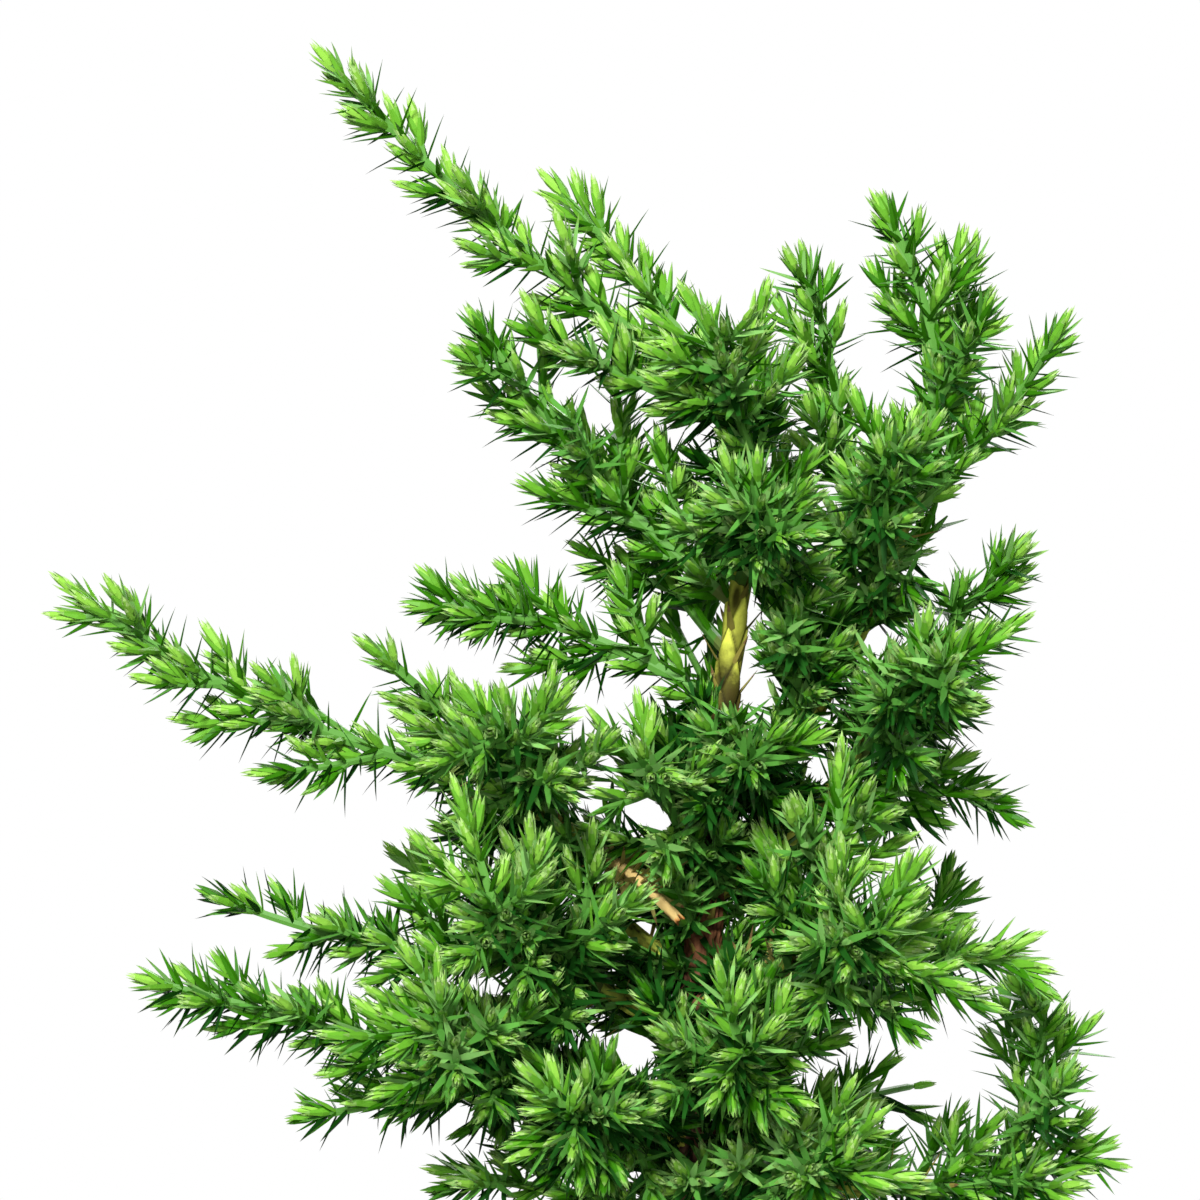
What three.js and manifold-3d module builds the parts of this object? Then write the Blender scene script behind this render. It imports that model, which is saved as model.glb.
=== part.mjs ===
// A young juniper bonsai in a plain pot: pot, soil, trunk, boughs and masses of needled twigs.
// Millimetres, +Z up, with the origin on the ground under the middle of the pot.
// The tree's own table is measured from the trunk's foot: +X right, +Y back, +Z up.
import * as THREE from "three";
import { mergeVertices } from "three/addons/utils/BufferGeometryUtils.js";
import Module from "manifold-3d";

const wasm = await Module();
wasm.setup();

// Clear space between neighbouring pieces, and the size under which a sliver of a join is closed up
const GAP = 0.3;
const FINEST = 0.05;

// Pot: a rounded rectangle with leaning walls, a rolled rim, four corner feet and two drain holes
const POT_LENGTH = 160;
const POT_WIDTH = 116;
const POT_HEIGHT = 54;
const POT_CORNER = 20;
const POT_LEAN = 9;
const WALL = 6;
const RIM_PROUD = 3;
const RIM_HEIGHT = 8;
const FLOOR_THICKNESS = 6;
const FOOT_HEIGHT = 7;
const FOOT_LENGTH = 30;
const FOOT_WIDTH = 22;
const FOOT_CORNER = 6;
const FOOT_TAPER = 2;
const DRAIN_RADIUS = 6;
const DRAIN_SPACING = 70;
const DRAIN_SIDES = 12;
const CORNER_STEPS = 4;
const EDGE_ROUND = 1.5;

// Soil: filled to a little below the rim, rising to a flat seat under the trunk
const SOIL_BELOW_RIM = 7;
const SOIL_RISE = 4;
const SEAT_RADIUS = 15;

// The tree stands right of the pot's middle, so that its longer left side hangs over the pot
const PLANT_X = 21;
const PLANT_Y = 3;
const SEAT_Z = POT_HEIGHT - SOIL_BELOW_RIM + SOIL_RISE;

// Trunk: leans to the right as it climbs, and flares into three roots at the ground
const TRUNK_HEIGHT = 163;
const TRUNK_LEAN = 7.3;
const TRUNK_BEND = 2.2;
const TRUNK_SWAY = 2.2;
const TRUNK_SWAY_BACK = 1.5;
const TRUNK_BASE_RADIUS = 4.6;
const TRUNK_TOP_RADIUS = 2.1;
const TAPER_POWER = 0.9;
const FLARE = 4.2;
const FLARE_FADE = 9;
const FLARE_ROOTS = 3;
const ROOT_PROUD = 0.35;
const ROOT_TURN = 60;
const TRUNK_SIDES = 12;
const TRUNK_STEPS = 14;
const RINGS_TO_FOOT = 1.8;

// Boughs: the limb that carries each and where on it the bough starts, which is a height on the trunk
// or a share of a bough, then its tip, how far its middle bows off a straight line, and its two radii
const BOUGHS = [
  { name: "leader_bough", on: "trunk", at: 163, tip: [-2.5, -2, 197], bow: [7, -2, -1], radii: [2.0, 1.5] },
  { name: "riser_bough", on: "trunk", at: 118, tip: [27, 10, 154], bow: [4, -1, -5], radii: [1.9, 1.4] },
  { name: "right_top_bough", on: "riser_bough", at: 0.6, tip: [40, 2, 181], bow: [2, 0, -2],
    radii: [1.4, 1.2] },
  { name: "right_shoulder_bough", on: "trunk", at: 103, tip: [34, -4, 136], bow: [2, -2, -3],
    radii: [1.7, 1.3] },
  { name: "left_long_bough", on: "trunk", at: 95, tip: [-43, -4, 124], bow: [0, -2, 1], radii: [2.0, 1.4] },
  { name: "left_low_bough", on: "trunk", at: 73, tip: [-27, -2, 89], bow: [0, 0, -1], radii: [1.9, 1.4] },
  { name: "left_bottom_bough", on: "trunk", at: 54, tip: [-43, -4, 68], bow: [0, -2, 2], radii: [2.0, 1.4] },
  { name: "front_right_bough", on: "trunk", at: 81, tip: [21, -28, 92], bow: [2, 0, 2], radii: [1.9, 1.4] },
  { name: "right_bottom_bough", on: "trunk", at: 36, tip: [51, -6, 46], bow: [0, 0, 4], radii: [2.0, 1.4] },
  { name: "back_right_bough", on: "trunk", at: 100, tip: [23, 25, 113], bow: [0, 0, -2], radii: [1.7, 1.3] },
  { name: "back_left_bough", on: "trunk", at: 86, tip: [-23, 25, 99], bow: [0, 0, -2], radii: [1.8, 1.3] },
];

// Two habits of a mass: how far apart its side shoots leave the stem, how many degrees they stand off it,
// the length of the lowest of them, and the length of the last as a share of that
const SLENDER = { every: 10, spread: 40, side: 26, taper: 0.3 };
const ROUND = { every: 5.5, spread: 58, side: 25, taper: 0.55 };

// Masses, under the limb that carries each: where on it the stem starts, the stem's tip and its bow,
// the length of its lowest side shoot, and how many degrees its shoots are turned round the stem.
// A mass without at grows on from its bough's tip, and one without a habit is slender.
const MASSES = {
  leader_bough: [
    { name: "leader", tip: [-71.5, -6, 256.5], bow: [-1.5, 0, -3], side: 25, turn: 240 },
    { name: "leader_side", at: 0.85, tip: [-31, 10, 234.5], bow: [2, 0, 1], side: 19, turn: 160 },
    { name: "upper_left", at: 0.72, tip: [-37, -14, 206.5], side: 25, turn: 200 },
    { name: "upper_front", at: 0.45, tip: [-1, -24, 209], side: 25, turn: 320, habit: ROUND },
  ],
  riser_bough: [
    { name: "top_middle", tip: [18, 16, 221.5], bow: [3, 0, 0], side: 32 },
    { name: "back_upper_right", at: 0.75, tip: [52, 22, 224], bow: [3, 6, -6], side: 22 },
    { name: "inner_right", at: 0.35, tip: [13, -22, 164], bow: [3, 0, 0], side: 20, habit: ROUND },
  ],
  right_top_bough: [
    { name: "right_top", tip: [30, 0, 230.5], bow: [6, 0, 0], side: 32, turn: 80 },
    { name: "right_top_outer", at: 0.8, tip: [66.5, -6, 209], bow: [1, 0, -3], side: 17, turn: 320 },
    { name: "right_upper_front", at: 0.4, tip: [32, -29, 188], bow: [0, -4, 0], side: 21, habit: ROUND },
  ],
  right_shoulder_bough: [
    { name: "right_shoulder", tip: [58.5, -10, 168], turn: 200 },
    { name: "right_shoulder_front", at: 0.8, tip: [43, -38, 148], side: 22, turn: 200, habit: ROUND },
    { name: "right_arm", at: 0.55, tip: [58.5, 3, 117], bow: [0, 0, 2], side: 26, turn: 160 },
  ],
  left_long_bough: [
    { name: "left_long", tip: [-119, -12, 161], bow: [0, 0, -6], side: 30, turn: 160 },
    { name: "left_long_upper", at: 0.88, tip: [-64, -17, 150], bow: [2, 0, 1], side: 18 },
    { name: "left_front_upper", at: 0.62, tip: [-39, -42, 138], side: 31, turn: 320, habit: ROUND },
  ],
  left_low_bough: [
    { name: "left_low", tip: [-94.5, 4, 101], bow: [0, 0, -4] },
    { name: "left_dome", at: 0.7, tip: [-41, -52, 108], side: 36, turn: 40, habit: ROUND },
  ],
  left_bottom_bough: [
    { name: "left_bottom", tip: [-105.5, -8, 86.5], bow: [0, 0, 0.5], side: 24, turn: 160 },
    { name: "left_bottom_low", at: 0.85, tip: [-78, 8, 56], side: 17, turn: 240 },
    { name: "front_left_low", at: 0.5, tip: [-52, -50, 86], side: 33, turn: 320, habit: ROUND },
    { name: "front_low", at: 0.2, tip: [-26, -58, 71], side: 28, habit: ROUND },
  ],
  front_right_bough: [
    { name: "front_right_outer", tip: [60.5, -42, 93], bow: [0, 0, 2], side: 28, turn: 160 },
    { name: "front_right", at: 0.85, tip: [27, -66, 104], side: 33, turn: 160, habit: ROUND },
    { name: "front_right_upper", at: 0.6, tip: [28, -28, 124], bow: [-1, 0, 0], side: 25, turn: 80,
      habit: ROUND },
  ],
  right_bottom_bough: [
    { name: "right_bottom", tip: [61, -14, 86.5], bow: [4, 0, 0], side: 32, turn: 80 },
    { name: "right_bottom_outer", at: 0.6, tip: [76.5, -8, 56.5], bow: [0, -5, -2], side: 27 },
  ],
  back_right_bough: [{ name: "back_right", tip: [54, 54, 140], bow: [0, 0, -2] }],
  back_left_bough: [{ name: "back_left", tip: [-58, 56, 128], bow: [0, 0, -3], side: 30 }],
  trunk: [
    { name: "fork_front", at: 158, tip: [9, -41, 176], side: 24, habit: ROUND },
    { name: "left_shoulder", at: 154, tip: [-44, -2, 209.5], bow: [-2, 3, -3], side: 35, turn: 40 },
    { name: "back_upper", at: 151, tip: [13, 46, 206], bow: [0, 5, -4], side: 32, turn: 320 },
    { name: "back_upper_left", at: 145, tip: [-26, 42, 191], bow: [0, 3, -4], side: 32, turn: 320 },
    { name: "left_mid", at: 135, tip: [-56, 6, 153.5], bow: [0, 0, 5.5], side: 30, turn: 40 },
    { name: "back_middle", at: 124, tip: [2, 54, 160], bow: [0, 3, -4], side: 30, turn: 120 },
    { name: "upper_centre_front", at: 118, tip: [10, -34, 133], side: 26, turn: 120, habit: ROUND },
    { name: "front_centre", at: 102, tip: [-13, -34, 133], side: 28, turn: 120, habit: ROUND },
    { name: "back_centre", at: 90, tip: [-4, 64, 112], bow: [0, 0, -3], side: 28 },
    { name: "back_right_low", at: 72, tip: [56, 46, 96], bow: [0, 0, -3], side: 32, turn: 160 },
    { name: "back_left_low", at: 70, tip: [-62, 46, 104], bow: [0, 0, -3], side: 28 },
    { name: "front_rosette", at: 66, tip: [6.5, -58, 82.5], side: 30, turn: 40, habit: ROUND },
    { name: "back_low", at: 54, tip: [2, 70, 74], bow: [0, 0, -2], side: 28 },
    { name: "back_low_right", at: 50, tip: [46, 40, 57], bow: [0, 0, 2], side: 32, turn: 40 },
    { name: "bottom_front", at: 48, tip: [25, -48, 60.5], side: 30, turn: 240, habit: ROUND },
    { name: "back_low_left", at: 46, tip: [-46, 50, 56], bow: [0, 0, 2] },
    { name: "bottom_left", at: 40, tip: [-52, -4, 50], side: 29, turn: 40 },
  ],
};

// Side shoots: spread evenly up the stem by the golden angle, each leaning forward and turning up at its end
const FIRST_SHOOT = 0.16;
const LAST_SHOOT = 0.88;
const GOLDEN_ANGLE = 137.5;
const SPREAD_WANDER = 8;
const ROLL_WANDER = 25;
const LENGTH_WANDER = 0.15;
const PLACE_WANDER = 0.3;
const SHOOT_FORWARD = 0.35;
const SHOOT_LIFT = 0.2;

// Twigs: three-sided, with a broad needle on each of the six faces of a step
const STEM_RADII = [1.15, 0.6];
const SHOOT_RADII = [0.8, 0.5];
const STEM_PITCH = 12;
const SHOOT_PITCH = 13.5;
const BARE_STEM = 6;
const BARE_SHOOT = 1;
const NEEDLE_LENGTH = 12;
const NEEDLE_ANGLES = [50, 28];
const NEEDLE_RADIUS = 0.6;
const SHOOT_ROOM = 0.75;
const CAPSULE_LENGTH = 7;
const BOUGH_SIDES = 6;
const BOUGH_STEP = 8;

// Colours, roughness and metalness of the surfaces
const finish = (color, roughness) => new THREE.MeshStandardMaterial({ color, roughness, metalness: 0 });
const CLAY = finish(0x5b4033, 0.75);
const SOIL = finish(0x3d2d22, 0.95);
const BARK = finish(0x7a6238, 0.85);
const GREEN_WOOD = finish(0x8a8a42, 0.8);
const NEEDLES = finish(0x3f8a33, 0.55);

// A tangent that climbs more steeply than this takes its level direction from the right instead of the sky
const STEEP = 0.9;
const UP = new THREE.Vector3(0, 0, 1);
const RIGHT = new THREE.Vector3(1, 0, 0);
const radians = THREE.MathUtils.degToRad;
const mix = THREE.MathUtils.lerp;
const vector = (xyz) => new THREE.Vector3(...xyz);
const total = (points) => points.reduce((sum, p) => sum.add(p), new THREE.Vector3());
const mean = (points) => total(points).divideScalar(points.length);

// Numbers from 0 to 1 that are the same on every run
const DRAW_FACTOR = 1664525;
const DRAW_SHIFT = 1013904223;
const DRAW_RANGE = 2 ** 32;

function seeded(seed) {
  let state = seed;
  return () => {
    state = (state * DRAW_FACTOR + DRAW_SHIFT) % DRAW_RANGE;
    return state / DRAW_RANGE;
  };
}

// A direction at right angles to a tangent, turned by roll degrees from level towards the sky
function outward(tangent, roll) {
  const level = Math.abs(tangent.z) > STEEP ? RIGHT : UP;
  const side = new THREE.Vector3().crossVectors(tangent, level).normalize();
  const over = new THREE.Vector3().crossVectors(side, tangent);
  return side.multiplyScalar(Math.cos(radians(roll))).addScaledVector(over, Math.sin(radians(roll)));
}

// Places along a curve, each with its tangent and two directions across it that never twist
function framesAlong(curve, steps) {
  let across = outward(curve.getTangent(0), 0);
  return Array.from({ length: steps + 1 }, (_, i) => {
    const tangent = curve.getTangent(i / steps);
    across = across.clone().addScaledVector(tangent, -across.dot(tangent)).normalize();
    const other = new THREE.Vector3().crossVectors(tangent, across);
    return { point: curve.getPoint(i / steps), tangent, across, other };
  });
}

// A ring of corners round one place on a curve
function ringAt({ point, across, other }, radius, sides, turn = 0) {
  return Array.from({ length: sides }, (_, i) => {
    const angle = turn + (2 * Math.PI * i) / sides;
    return point
      .clone()
      .addScaledVector(across, radius * Math.cos(angle))
      .addScaledVector(other, radius * Math.sin(angle));
  });
}

// Geometry from corners and triangles
function facets(corners, triangles) {
  return new THREE.BufferGeometry()
    .setAttribute("position", new THREE.Float32BufferAttribute(corners.flatMap((c) => [c.x, c.y, c.z]), 3))
    .setIndex(triangles.flat());
}

// A closed skin over rings that have the same number of corners, with a fan over each end
function skin(rings) {
  const sides = rings[0].length;
  const corners = [...rings.flat(), mean(rings[0]), mean(rings.at(-1))];
  const triangles = [];
  for (let side = 0; side < sides; side++) {
    const next = (side + 1) % sides;
    for (let k = 0; k + 1 < rings.length; k++) {
      const low = k * sides;
      const high = low + sides;
      triangles.push([low + side, low + next, high + next], [low + side, high + next, high + side]);
    }
    const last = (rings.length - 1) * sides;
    triangles.push([corners.length - 2, next, side], [corners.length - 1, last + side, last + next]);
  }
  return facets(corners, triangles);
}

// A closed geometry as a solid that can be joined and cut
function solid(geometry) {
  const bare = geometry.clone();
  bare.deleteAttribute("normal");
  bare.deleteAttribute("uv");
  const merged = mergeVertices(bare);
  const vertProperties = merged.attributes.position.array;
  const triVerts = new Uint32Array(merged.index.array);
  return new wasm.Manifold(new wasm.Mesh({ numProp: 3, vertProperties, triVerts }));
}

// The largest body of a solid, as geometry
function geometryOf(made) {
  const body = made.simplify(FINEST).decompose().sort((a, b) => b.volume() - a.volume())[0];
  const mesh = body.getMesh();
  return new THREE.BufferGeometry()
    .setAttribute("position", new THREE.BufferAttribute(mesh.vertProperties, mesh.numProp))
    .setIndex(new THREE.BufferAttribute(mesh.triVerts, 1));
}

function named(name, geometry, material) {
  const mesh = new THREE.Mesh(geometry, material);
  mesh.name = name;
  return mesh;
}

// A level ring with the outline of a rounded rectangle
function roundedRing(length, width, corner, z) {
  return Array.from({ length: 4 * (CORNER_STEPS + 1) }, (_, i) => {
    const quarter = Math.floor(i / (CORNER_STEPS + 1));
    const angle = (Math.PI / 2) * (quarter + (i % (CORNER_STEPS + 1)) / CORNER_STEPS);
    const signX = quarter === 0 || quarter === 3 ? 1 : -1;
    const signY = quarter < 2 ? 1 : -1;
    const x = signX * (length / 2 - corner) + corner * Math.cos(angle);
    const y = signY * (width / 2 - corner) + corner * Math.sin(angle);
    return new THREE.Vector3(x, y, z);
  });
}

// The pot's outline at a height, set in from the outside of its wall
function potRing(z, inset) {
  const lean = POT_LEAN * (1 - z / POT_HEIGHT);
  const drawnIn = 2 * (inset + RIM_PROUD + lean);
  return roundedRing(POT_LENGTH - drawnIn, POT_WIDTH - drawnIn, POT_CORNER - inset, z);
}

function pot() {
  const rimFoot = POT_HEIGHT - RIM_HEIGHT;
  const floor = FOOT_HEIGHT + FLOOR_THICKNESS;
  const shell = solid(
    skin([
      potRing(FOOT_HEIGHT, EDGE_ROUND),
      potRing(FOOT_HEIGHT + EDGE_ROUND, 0),
      potRing(rimFoot - EDGE_ROUND, 0),
      potRing(rimFoot, -RIM_PROUD + EDGE_ROUND),
      potRing(rimFoot + EDGE_ROUND, -RIM_PROUD),
      potRing(POT_HEIGHT - EDGE_ROUND, -RIM_PROUD),
      potRing(POT_HEIGHT, -RIM_PROUD + EDGE_ROUND),
      potRing(POT_HEIGHT, WALL - EDGE_ROUND),
      potRing(POT_HEIGHT - EDGE_ROUND, WALL),
      potRing(floor, WALL),
    ]),
  );
  const drawnIn = 2 * (EDGE_ROUND + RIM_PROUD + POT_LEAN);
  const footX = (POT_LENGTH - drawnIn - FOOT_LENGTH) / 2;
  const footY = (POT_WIDTH - drawnIn - FOOT_WIDTH) / 2;
  const feet = [-1, 1].flatMap((x) =>
    [-1, 1].map((y) =>
      solid(
        skin([
          roundedRing(FOOT_LENGTH - 2 * FOOT_TAPER, FOOT_WIDTH - 2 * FOOT_TAPER, FOOT_CORNER - FOOT_TAPER, 0),
          roundedRing(FOOT_LENGTH, FOOT_WIDTH, FOOT_CORNER, FOOT_HEIGHT + 2 * EDGE_ROUND),
        ]).translate(x * footX, y * footY, 0),
      ),
    ),
  );
  const drains = [-1, 1].map((x) =>
    solid(
      new THREE.CylinderGeometry(DRAIN_RADIUS, DRAIN_RADIUS, 4 * FLOOR_THICKNESS, DRAIN_SIDES)
        .rotateX(Math.PI / 2)
        .translate((x * DRAIN_SPACING) / 2, 0, floor),
    ),
  );
  const joined = feet.reduce((sum, foot) => sum.add(foot), shell);
  return named("pot", geometryOf(drains.reduce((left, drain) => left.subtract(drain), joined)), CLAY);
}

function soil() {
  const bottom = FOOT_HEIGHT + FLOOR_THICKNESS;
  const edge = POT_HEIGHT - SOIL_BELOW_RIM;
  const outer = potRing(edge, WALL + GAP);
  const towards = (share) =>
    outer.map((c) => {
      const angle = Math.atan2(c.y - PLANT_Y, c.x - PLANT_X);
      const seat = new THREE.Vector3(PLANT_X, PLANT_Y, SEAT_Z);
      seat.add(new THREE.Vector3(SEAT_RADIUS * Math.cos(angle), SEAT_RADIUS * Math.sin(angle), 0));
      const rise = Math.sin((share * Math.PI) / 2);
      return new THREE.Vector3(mix(c.x, seat.x, share), mix(c.y, seat.y, share), mix(edge, SEAT_Z, rise));
    });
  return named("soil", skin([potRing(bottom, WALL + GAP), outer, towards(0.5), towards(1)]), SOIL);
}

// The trunk's centre line, from the ground to the fork
class TrunkLine extends THREE.Curve {
  getPoint(t, target = new THREE.Vector3()) {
    const x = TRUNK_LEAN * Math.pow(t, TRUNK_BEND) - TRUNK_SWAY * Math.sin(Math.PI * t);
    const y = TRUNK_SWAY_BACK * Math.sin(2 * Math.PI * t);
    return target.set(x, y, TRUNK_HEIGHT * t);
  }
}

// The trunk's radius at a share of its height and an angle round it
function trunkRadius(t, angle) {
  const taper = mix(TRUNK_TOP_RADIUS, TRUNK_BASE_RADIUS, Math.pow(1 - t, TAPER_POWER));
  const flare = FLARE * Math.exp((-t * TRUNK_HEIGHT) / FLARE_FADE);
  return taper + flare * (1 + ROOT_PROUD * Math.cos(FLARE_ROOTS * (angle - radians(ROOT_TURN))));
}

// The trunk grown by a margin: level rings that gather closer towards the flare
function trunkSkin(margin) {
  const line = new TrunkLine();
  const rings = Array.from({ length: TRUNK_STEPS + 1 }, (_, i) => {
    const t = Math.pow(i / TRUNK_STEPS, RINGS_TO_FOOT);
    const centre = line.getPoint(t);
    return Array.from({ length: TRUNK_SIDES }, (_, k) => {
      const angle = (2 * Math.PI * k) / TRUNK_SIDES;
      const radius = trunkRadius(t, angle) + margin;
      return centre.clone().add(new THREE.Vector3(radius * Math.cos(angle), radius * Math.sin(angle), 0));
    });
  });
  rings.at(-1).forEach((c) => (c.z += margin));
  return skin(rings);
}

// A line from a start to a tip, whose middle stands off the straight by bow
function bowed(start, tip, bow = [0, 0, 0]) {
  const control = start.clone().lerp(tip, 0.5).addScaledVector(vector(bow), 2);
  return new THREE.QuadraticBezierCurve3(start, control, tip);
}

const limbs = new Map();

// Where a child leaves the limb that carries it: at a height on the trunk, or at a share of a bough
function rootOf({ on, at = 1 }) {
  const { line } = limbs.get(on);
  return line.getPoint(on === "trunk" ? at / TRUNK_HEIGHT : at);
}

// A bough grown by a margin, which also lengthens its tip
function boughSkin(line, radii, margin) {
  const steps = Math.max(3, Math.round(line.getLength() / BOUGH_STEP));
  const rings = framesAlong(line, steps).map((frame, i) =>
    ringAt(frame, mix(radii[0], radii[1], i / steps) + margin, BOUGH_SIDES),
  );
  const end = line.getTangent(1).multiplyScalar(margin);
  rings.at(-1).forEach((c) => c.add(end));
  return skin(rings);
}

// The thin spaces that are already taken: short capsules, each with its owner
const taken = [];

function distanceBetween(a, b) {
  const u = a.to.clone().sub(a.from);
  const v = b.to.clone().sub(b.from);
  const w = a.from.clone().sub(b.from);
  const [uu, uv, vv, uw, vw] = [u.dot(u), u.dot(v), v.dot(v), u.dot(w), v.dot(w)];
  const clamp = THREE.MathUtils.clamp;
  const cross = uu * vv - uv * uv;
  let s = cross > 1e-9 ? clamp((uv * vw - vv * uw) / cross, 0, 1) : 0;
  const t = clamp((uv * s + vw) / vv, 0, 1);
  s = clamp((uv * t - uw) / uu, 0, 1);
  return w.addScaledVector(u, s).addScaledVector(v, -t).length();
}

function isClear(piece) {
  const middle = piece.from.clone().add(piece.to).divideScalar(2);
  const reach = piece.from.distanceTo(piece.to) / 2 + piece.radius + GAP;
  return taken.every(
    (other) =>
      other.owner === piece.owner ||
      other.middle.distanceTo(middle) > reach + other.reach ||
      distanceBetween(piece, other) > piece.radius + other.radius + GAP,
  );
}

function take(piece) {
  const middle = piece.from.clone().add(piece.to).divideScalar(2);
  taken.push({ ...piece, middle, reach: piece.from.distanceTo(piece.to) / 2 + piece.radius });
}

// The capsules along a limb or a twig
function capsules(owner, line, radii) {
  const steps = Math.ceil(line.getLength() / CAPSULE_LENGTH);
  return Array.from({ length: steps }, (_, i) => ({
    owner,
    radius: mix(...radii, i / steps),
    from: line.getPoint(i / steps),
    to: line.getPoint((i + 1) / steps),
  }));
}

// The lines of a mass: its stem, and side shoots placed by a seeded rule
function growth(mass, seed) {
  const random = seeded(seed);
  const wander = (size) => size * (2 * random() - 1);
  const habit = mass.habit ?? SLENDER;
  const stem = bowed(rootOf(mass), vector(mass.tip), mass.bow);
  const count = Math.round(stem.getLength() / habit.every);
  const firstRoll = 360 * random() + (mass.turn ?? 0);
  const shoots = Array.from({ length: count }, (_, k) => {
    const share = mix(FIRST_SHOOT, LAST_SHOOT, (k + 0.5 + wander(PLACE_WANDER)) / count);
    const tangent = stem.getTangent(share);
    const roll = firstRoll + k * GOLDEN_ANGLE + wander(ROLL_WANDER);
    const spread = radians(habit.spread + wander(SPREAD_WANDER));
    const length = (mass.side ?? habit.side) * mix(1, habit.taper, share) * (1 + wander(LENGTH_WANDER));
    const away = tangent.clone().multiplyScalar(Math.cos(spread));
    away.addScaledVector(outward(tangent, roll), Math.sin(spread));
    const root = stem.getPoint(share);
    const knee = root.clone().addScaledVector(away, length / 2);
    const ahead = away.clone().addScaledVector(tangent, SHOOT_FORWARD).addScaledVector(UP, SHOOT_LIFT);
    ahead.normalize();
    const line = new THREE.QuadraticBezierCurve3(root, knee, knee.clone().addScaledVector(ahead, length / 2));
    return { line, share, away };
  });
  return { stem, shoots };
}

// A three-sided twig that ends in a point, each of whose faces is drawn out into a needle where there is room
function needledTwig(owner, line, radii, pitch, bare, shoots = []) {
  const length = line.getLength();
  const steps = Math.max(2, Math.round(length / pitch));
  const frames = framesAlong(line, steps);
  const rings = frames
    .slice(0, steps)
    .map((frame, i) => ringAt(frame, mix(...radii, i / steps), 3, (i * Math.PI) / 3));
  const corners = [...rings.flat(), frames[steps].point];
  const triangles = [[2, 1, 0]];
  for (let i = 0; i + 1 < steps; i++) {
    const leaving = shoots.filter(({ share }) => Math.floor(share * steps) === i);
    const isBare = (i * length) / steps < bare;
    for (let k = 0; k < 3; k++) {
      const [low, lowNext] = [3 * i + k, 3 * i + ((k + 1) % 3)];
      const [high, highNext] = [low + 3, lowNext + 3];
      for (const face of [[low, lowNext, high], [lowNext, highNext, high]]) {
        const foot = face.map((c) => corners[c]);
        const places = face.map((c) => frames[Math.floor(c / 3)]);
        const tip = isBare ? null : needleTip(owner, foot, places, i / steps, leaving);
        if (tip) {
          const apex = corners.push(tip) - 1;
          face.forEach((corner, c) => triangles.push([corner, face[(c + 1) % 3], apex]));
        } else {
          triangles.push(face);
        }
      }
    }
  }
  const [last, end] = [3 * (steps - 1), 3 * steps];
  for (let k = 0; k < 3; k++) {
    triangles.push([last + k, last + ((k + 1) % 3), end]);
  }
  return solid(facets(corners, triangles));
}

// The point of a needle that stands on one face of a twig, or nothing where another piece is in its way
function needleTip(owner, foot, places, share, leaving) {
  const middle = mean(foot);
  const tangent = mean(places.map((place) => place.tangent)).normalize();
  const away = middle.clone().sub(mean(places.map((place) => place.point)));
  away.addScaledVector(tangent, -away.dot(tangent)).normalize();
  if (leaving.some((shoot) => shoot.away.dot(away) > SHOOT_ROOM)) return null;
  const angle = radians(mix(...NEEDLE_ANGLES, share));
  const tip = middle.clone().addScaledVector(tangent, NEEDLE_LENGTH * Math.cos(angle));
  tip.addScaledVector(away, NEEDLE_LENGTH * Math.sin(angle));
  const edges = [middle, ...foot].map((from) => ({ owner, radius: NEEDLE_RADIUS, from, to: tip }));
  if (!edges.every(isClear)) return null;
  edges.forEach(take);
  return tip;
}

function tree() {
  const group = new THREE.Group();
  const trunkLine = new TrunkLine();
  limbs.set("trunk", { line: trunkLine, grown: solid(trunkSkin(GAP)) });
  group.add(named("trunk", trunkSkin(0), BARK));
  capsules("trunk", trunkLine, [TRUNK_BASE_RADIUS, TRUNK_TOP_RADIUS]).forEach(take);

  for (const bough of BOUGHS) {
    const line = bowed(rootOf(bough), vector(bough.tip), bough.bow);
    const limb = solid(boughSkin(line, bough.radii, 0)).subtract(limbs.get(bough.on).grown);
    group.add(named(bough.name, geometryOf(limb), GREEN_WOOD));
    limbs.set(bough.name, { line, grown: solid(boughSkin(line, bough.radii, GAP)) });
    capsules(bough.name, line, bough.radii).forEach(take);
  }

  const masses = Object.entries(MASSES).flatMap(([on, rows]) => rows.map((row) => ({ ...row, on })));
  const grown = masses.map((mass, i) => ({ mass, ...growth(mass, i + 1) }));
  for (const { mass, stem } of grown) capsules(mass.name, stem, STEM_RADII).forEach(take);
  for (const each of grown) {
    each.shoots = each.shoots.filter((shoot) => {
      const pieces = capsules(each.mass.name, shoot.line, SHOOT_RADII);
      const clear = pieces.every(isClear);
      if (clear) pieces.forEach(take);
      return clear;
    });
  }
  for (const { mass, stem, shoots } of grown) {
    const twigs = [
      needledTwig(mass.name, stem, STEM_RADII, STEM_PITCH, BARE_STEM, shoots),
      ...shoots.map(({ line }) => needledTwig(mass.name, line, SHOOT_RADII, SHOOT_PITCH, BARE_SHOOT)),
    ];
    const carrier = limbs.get(mass.on).grown;
    group.add(named(mass.name, geometryOf(wasm.Manifold.union(twigs).subtract(carrier)), NEEDLES));
  }
  group.position.set(PLANT_X, PLANT_Y, SEAT_Z);
  return group;
}

const bonsai = new THREE.Group();
bonsai.add(pot(), soil(), tree());

export default bonsai;
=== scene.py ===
"""The looks of a young juniper bonsai: needled shoots on barked limbs, in a clay pot of gritty soil."""

import math
from dataclasses import dataclass

import bpy
import numpy as np
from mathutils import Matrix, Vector, noise


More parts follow.
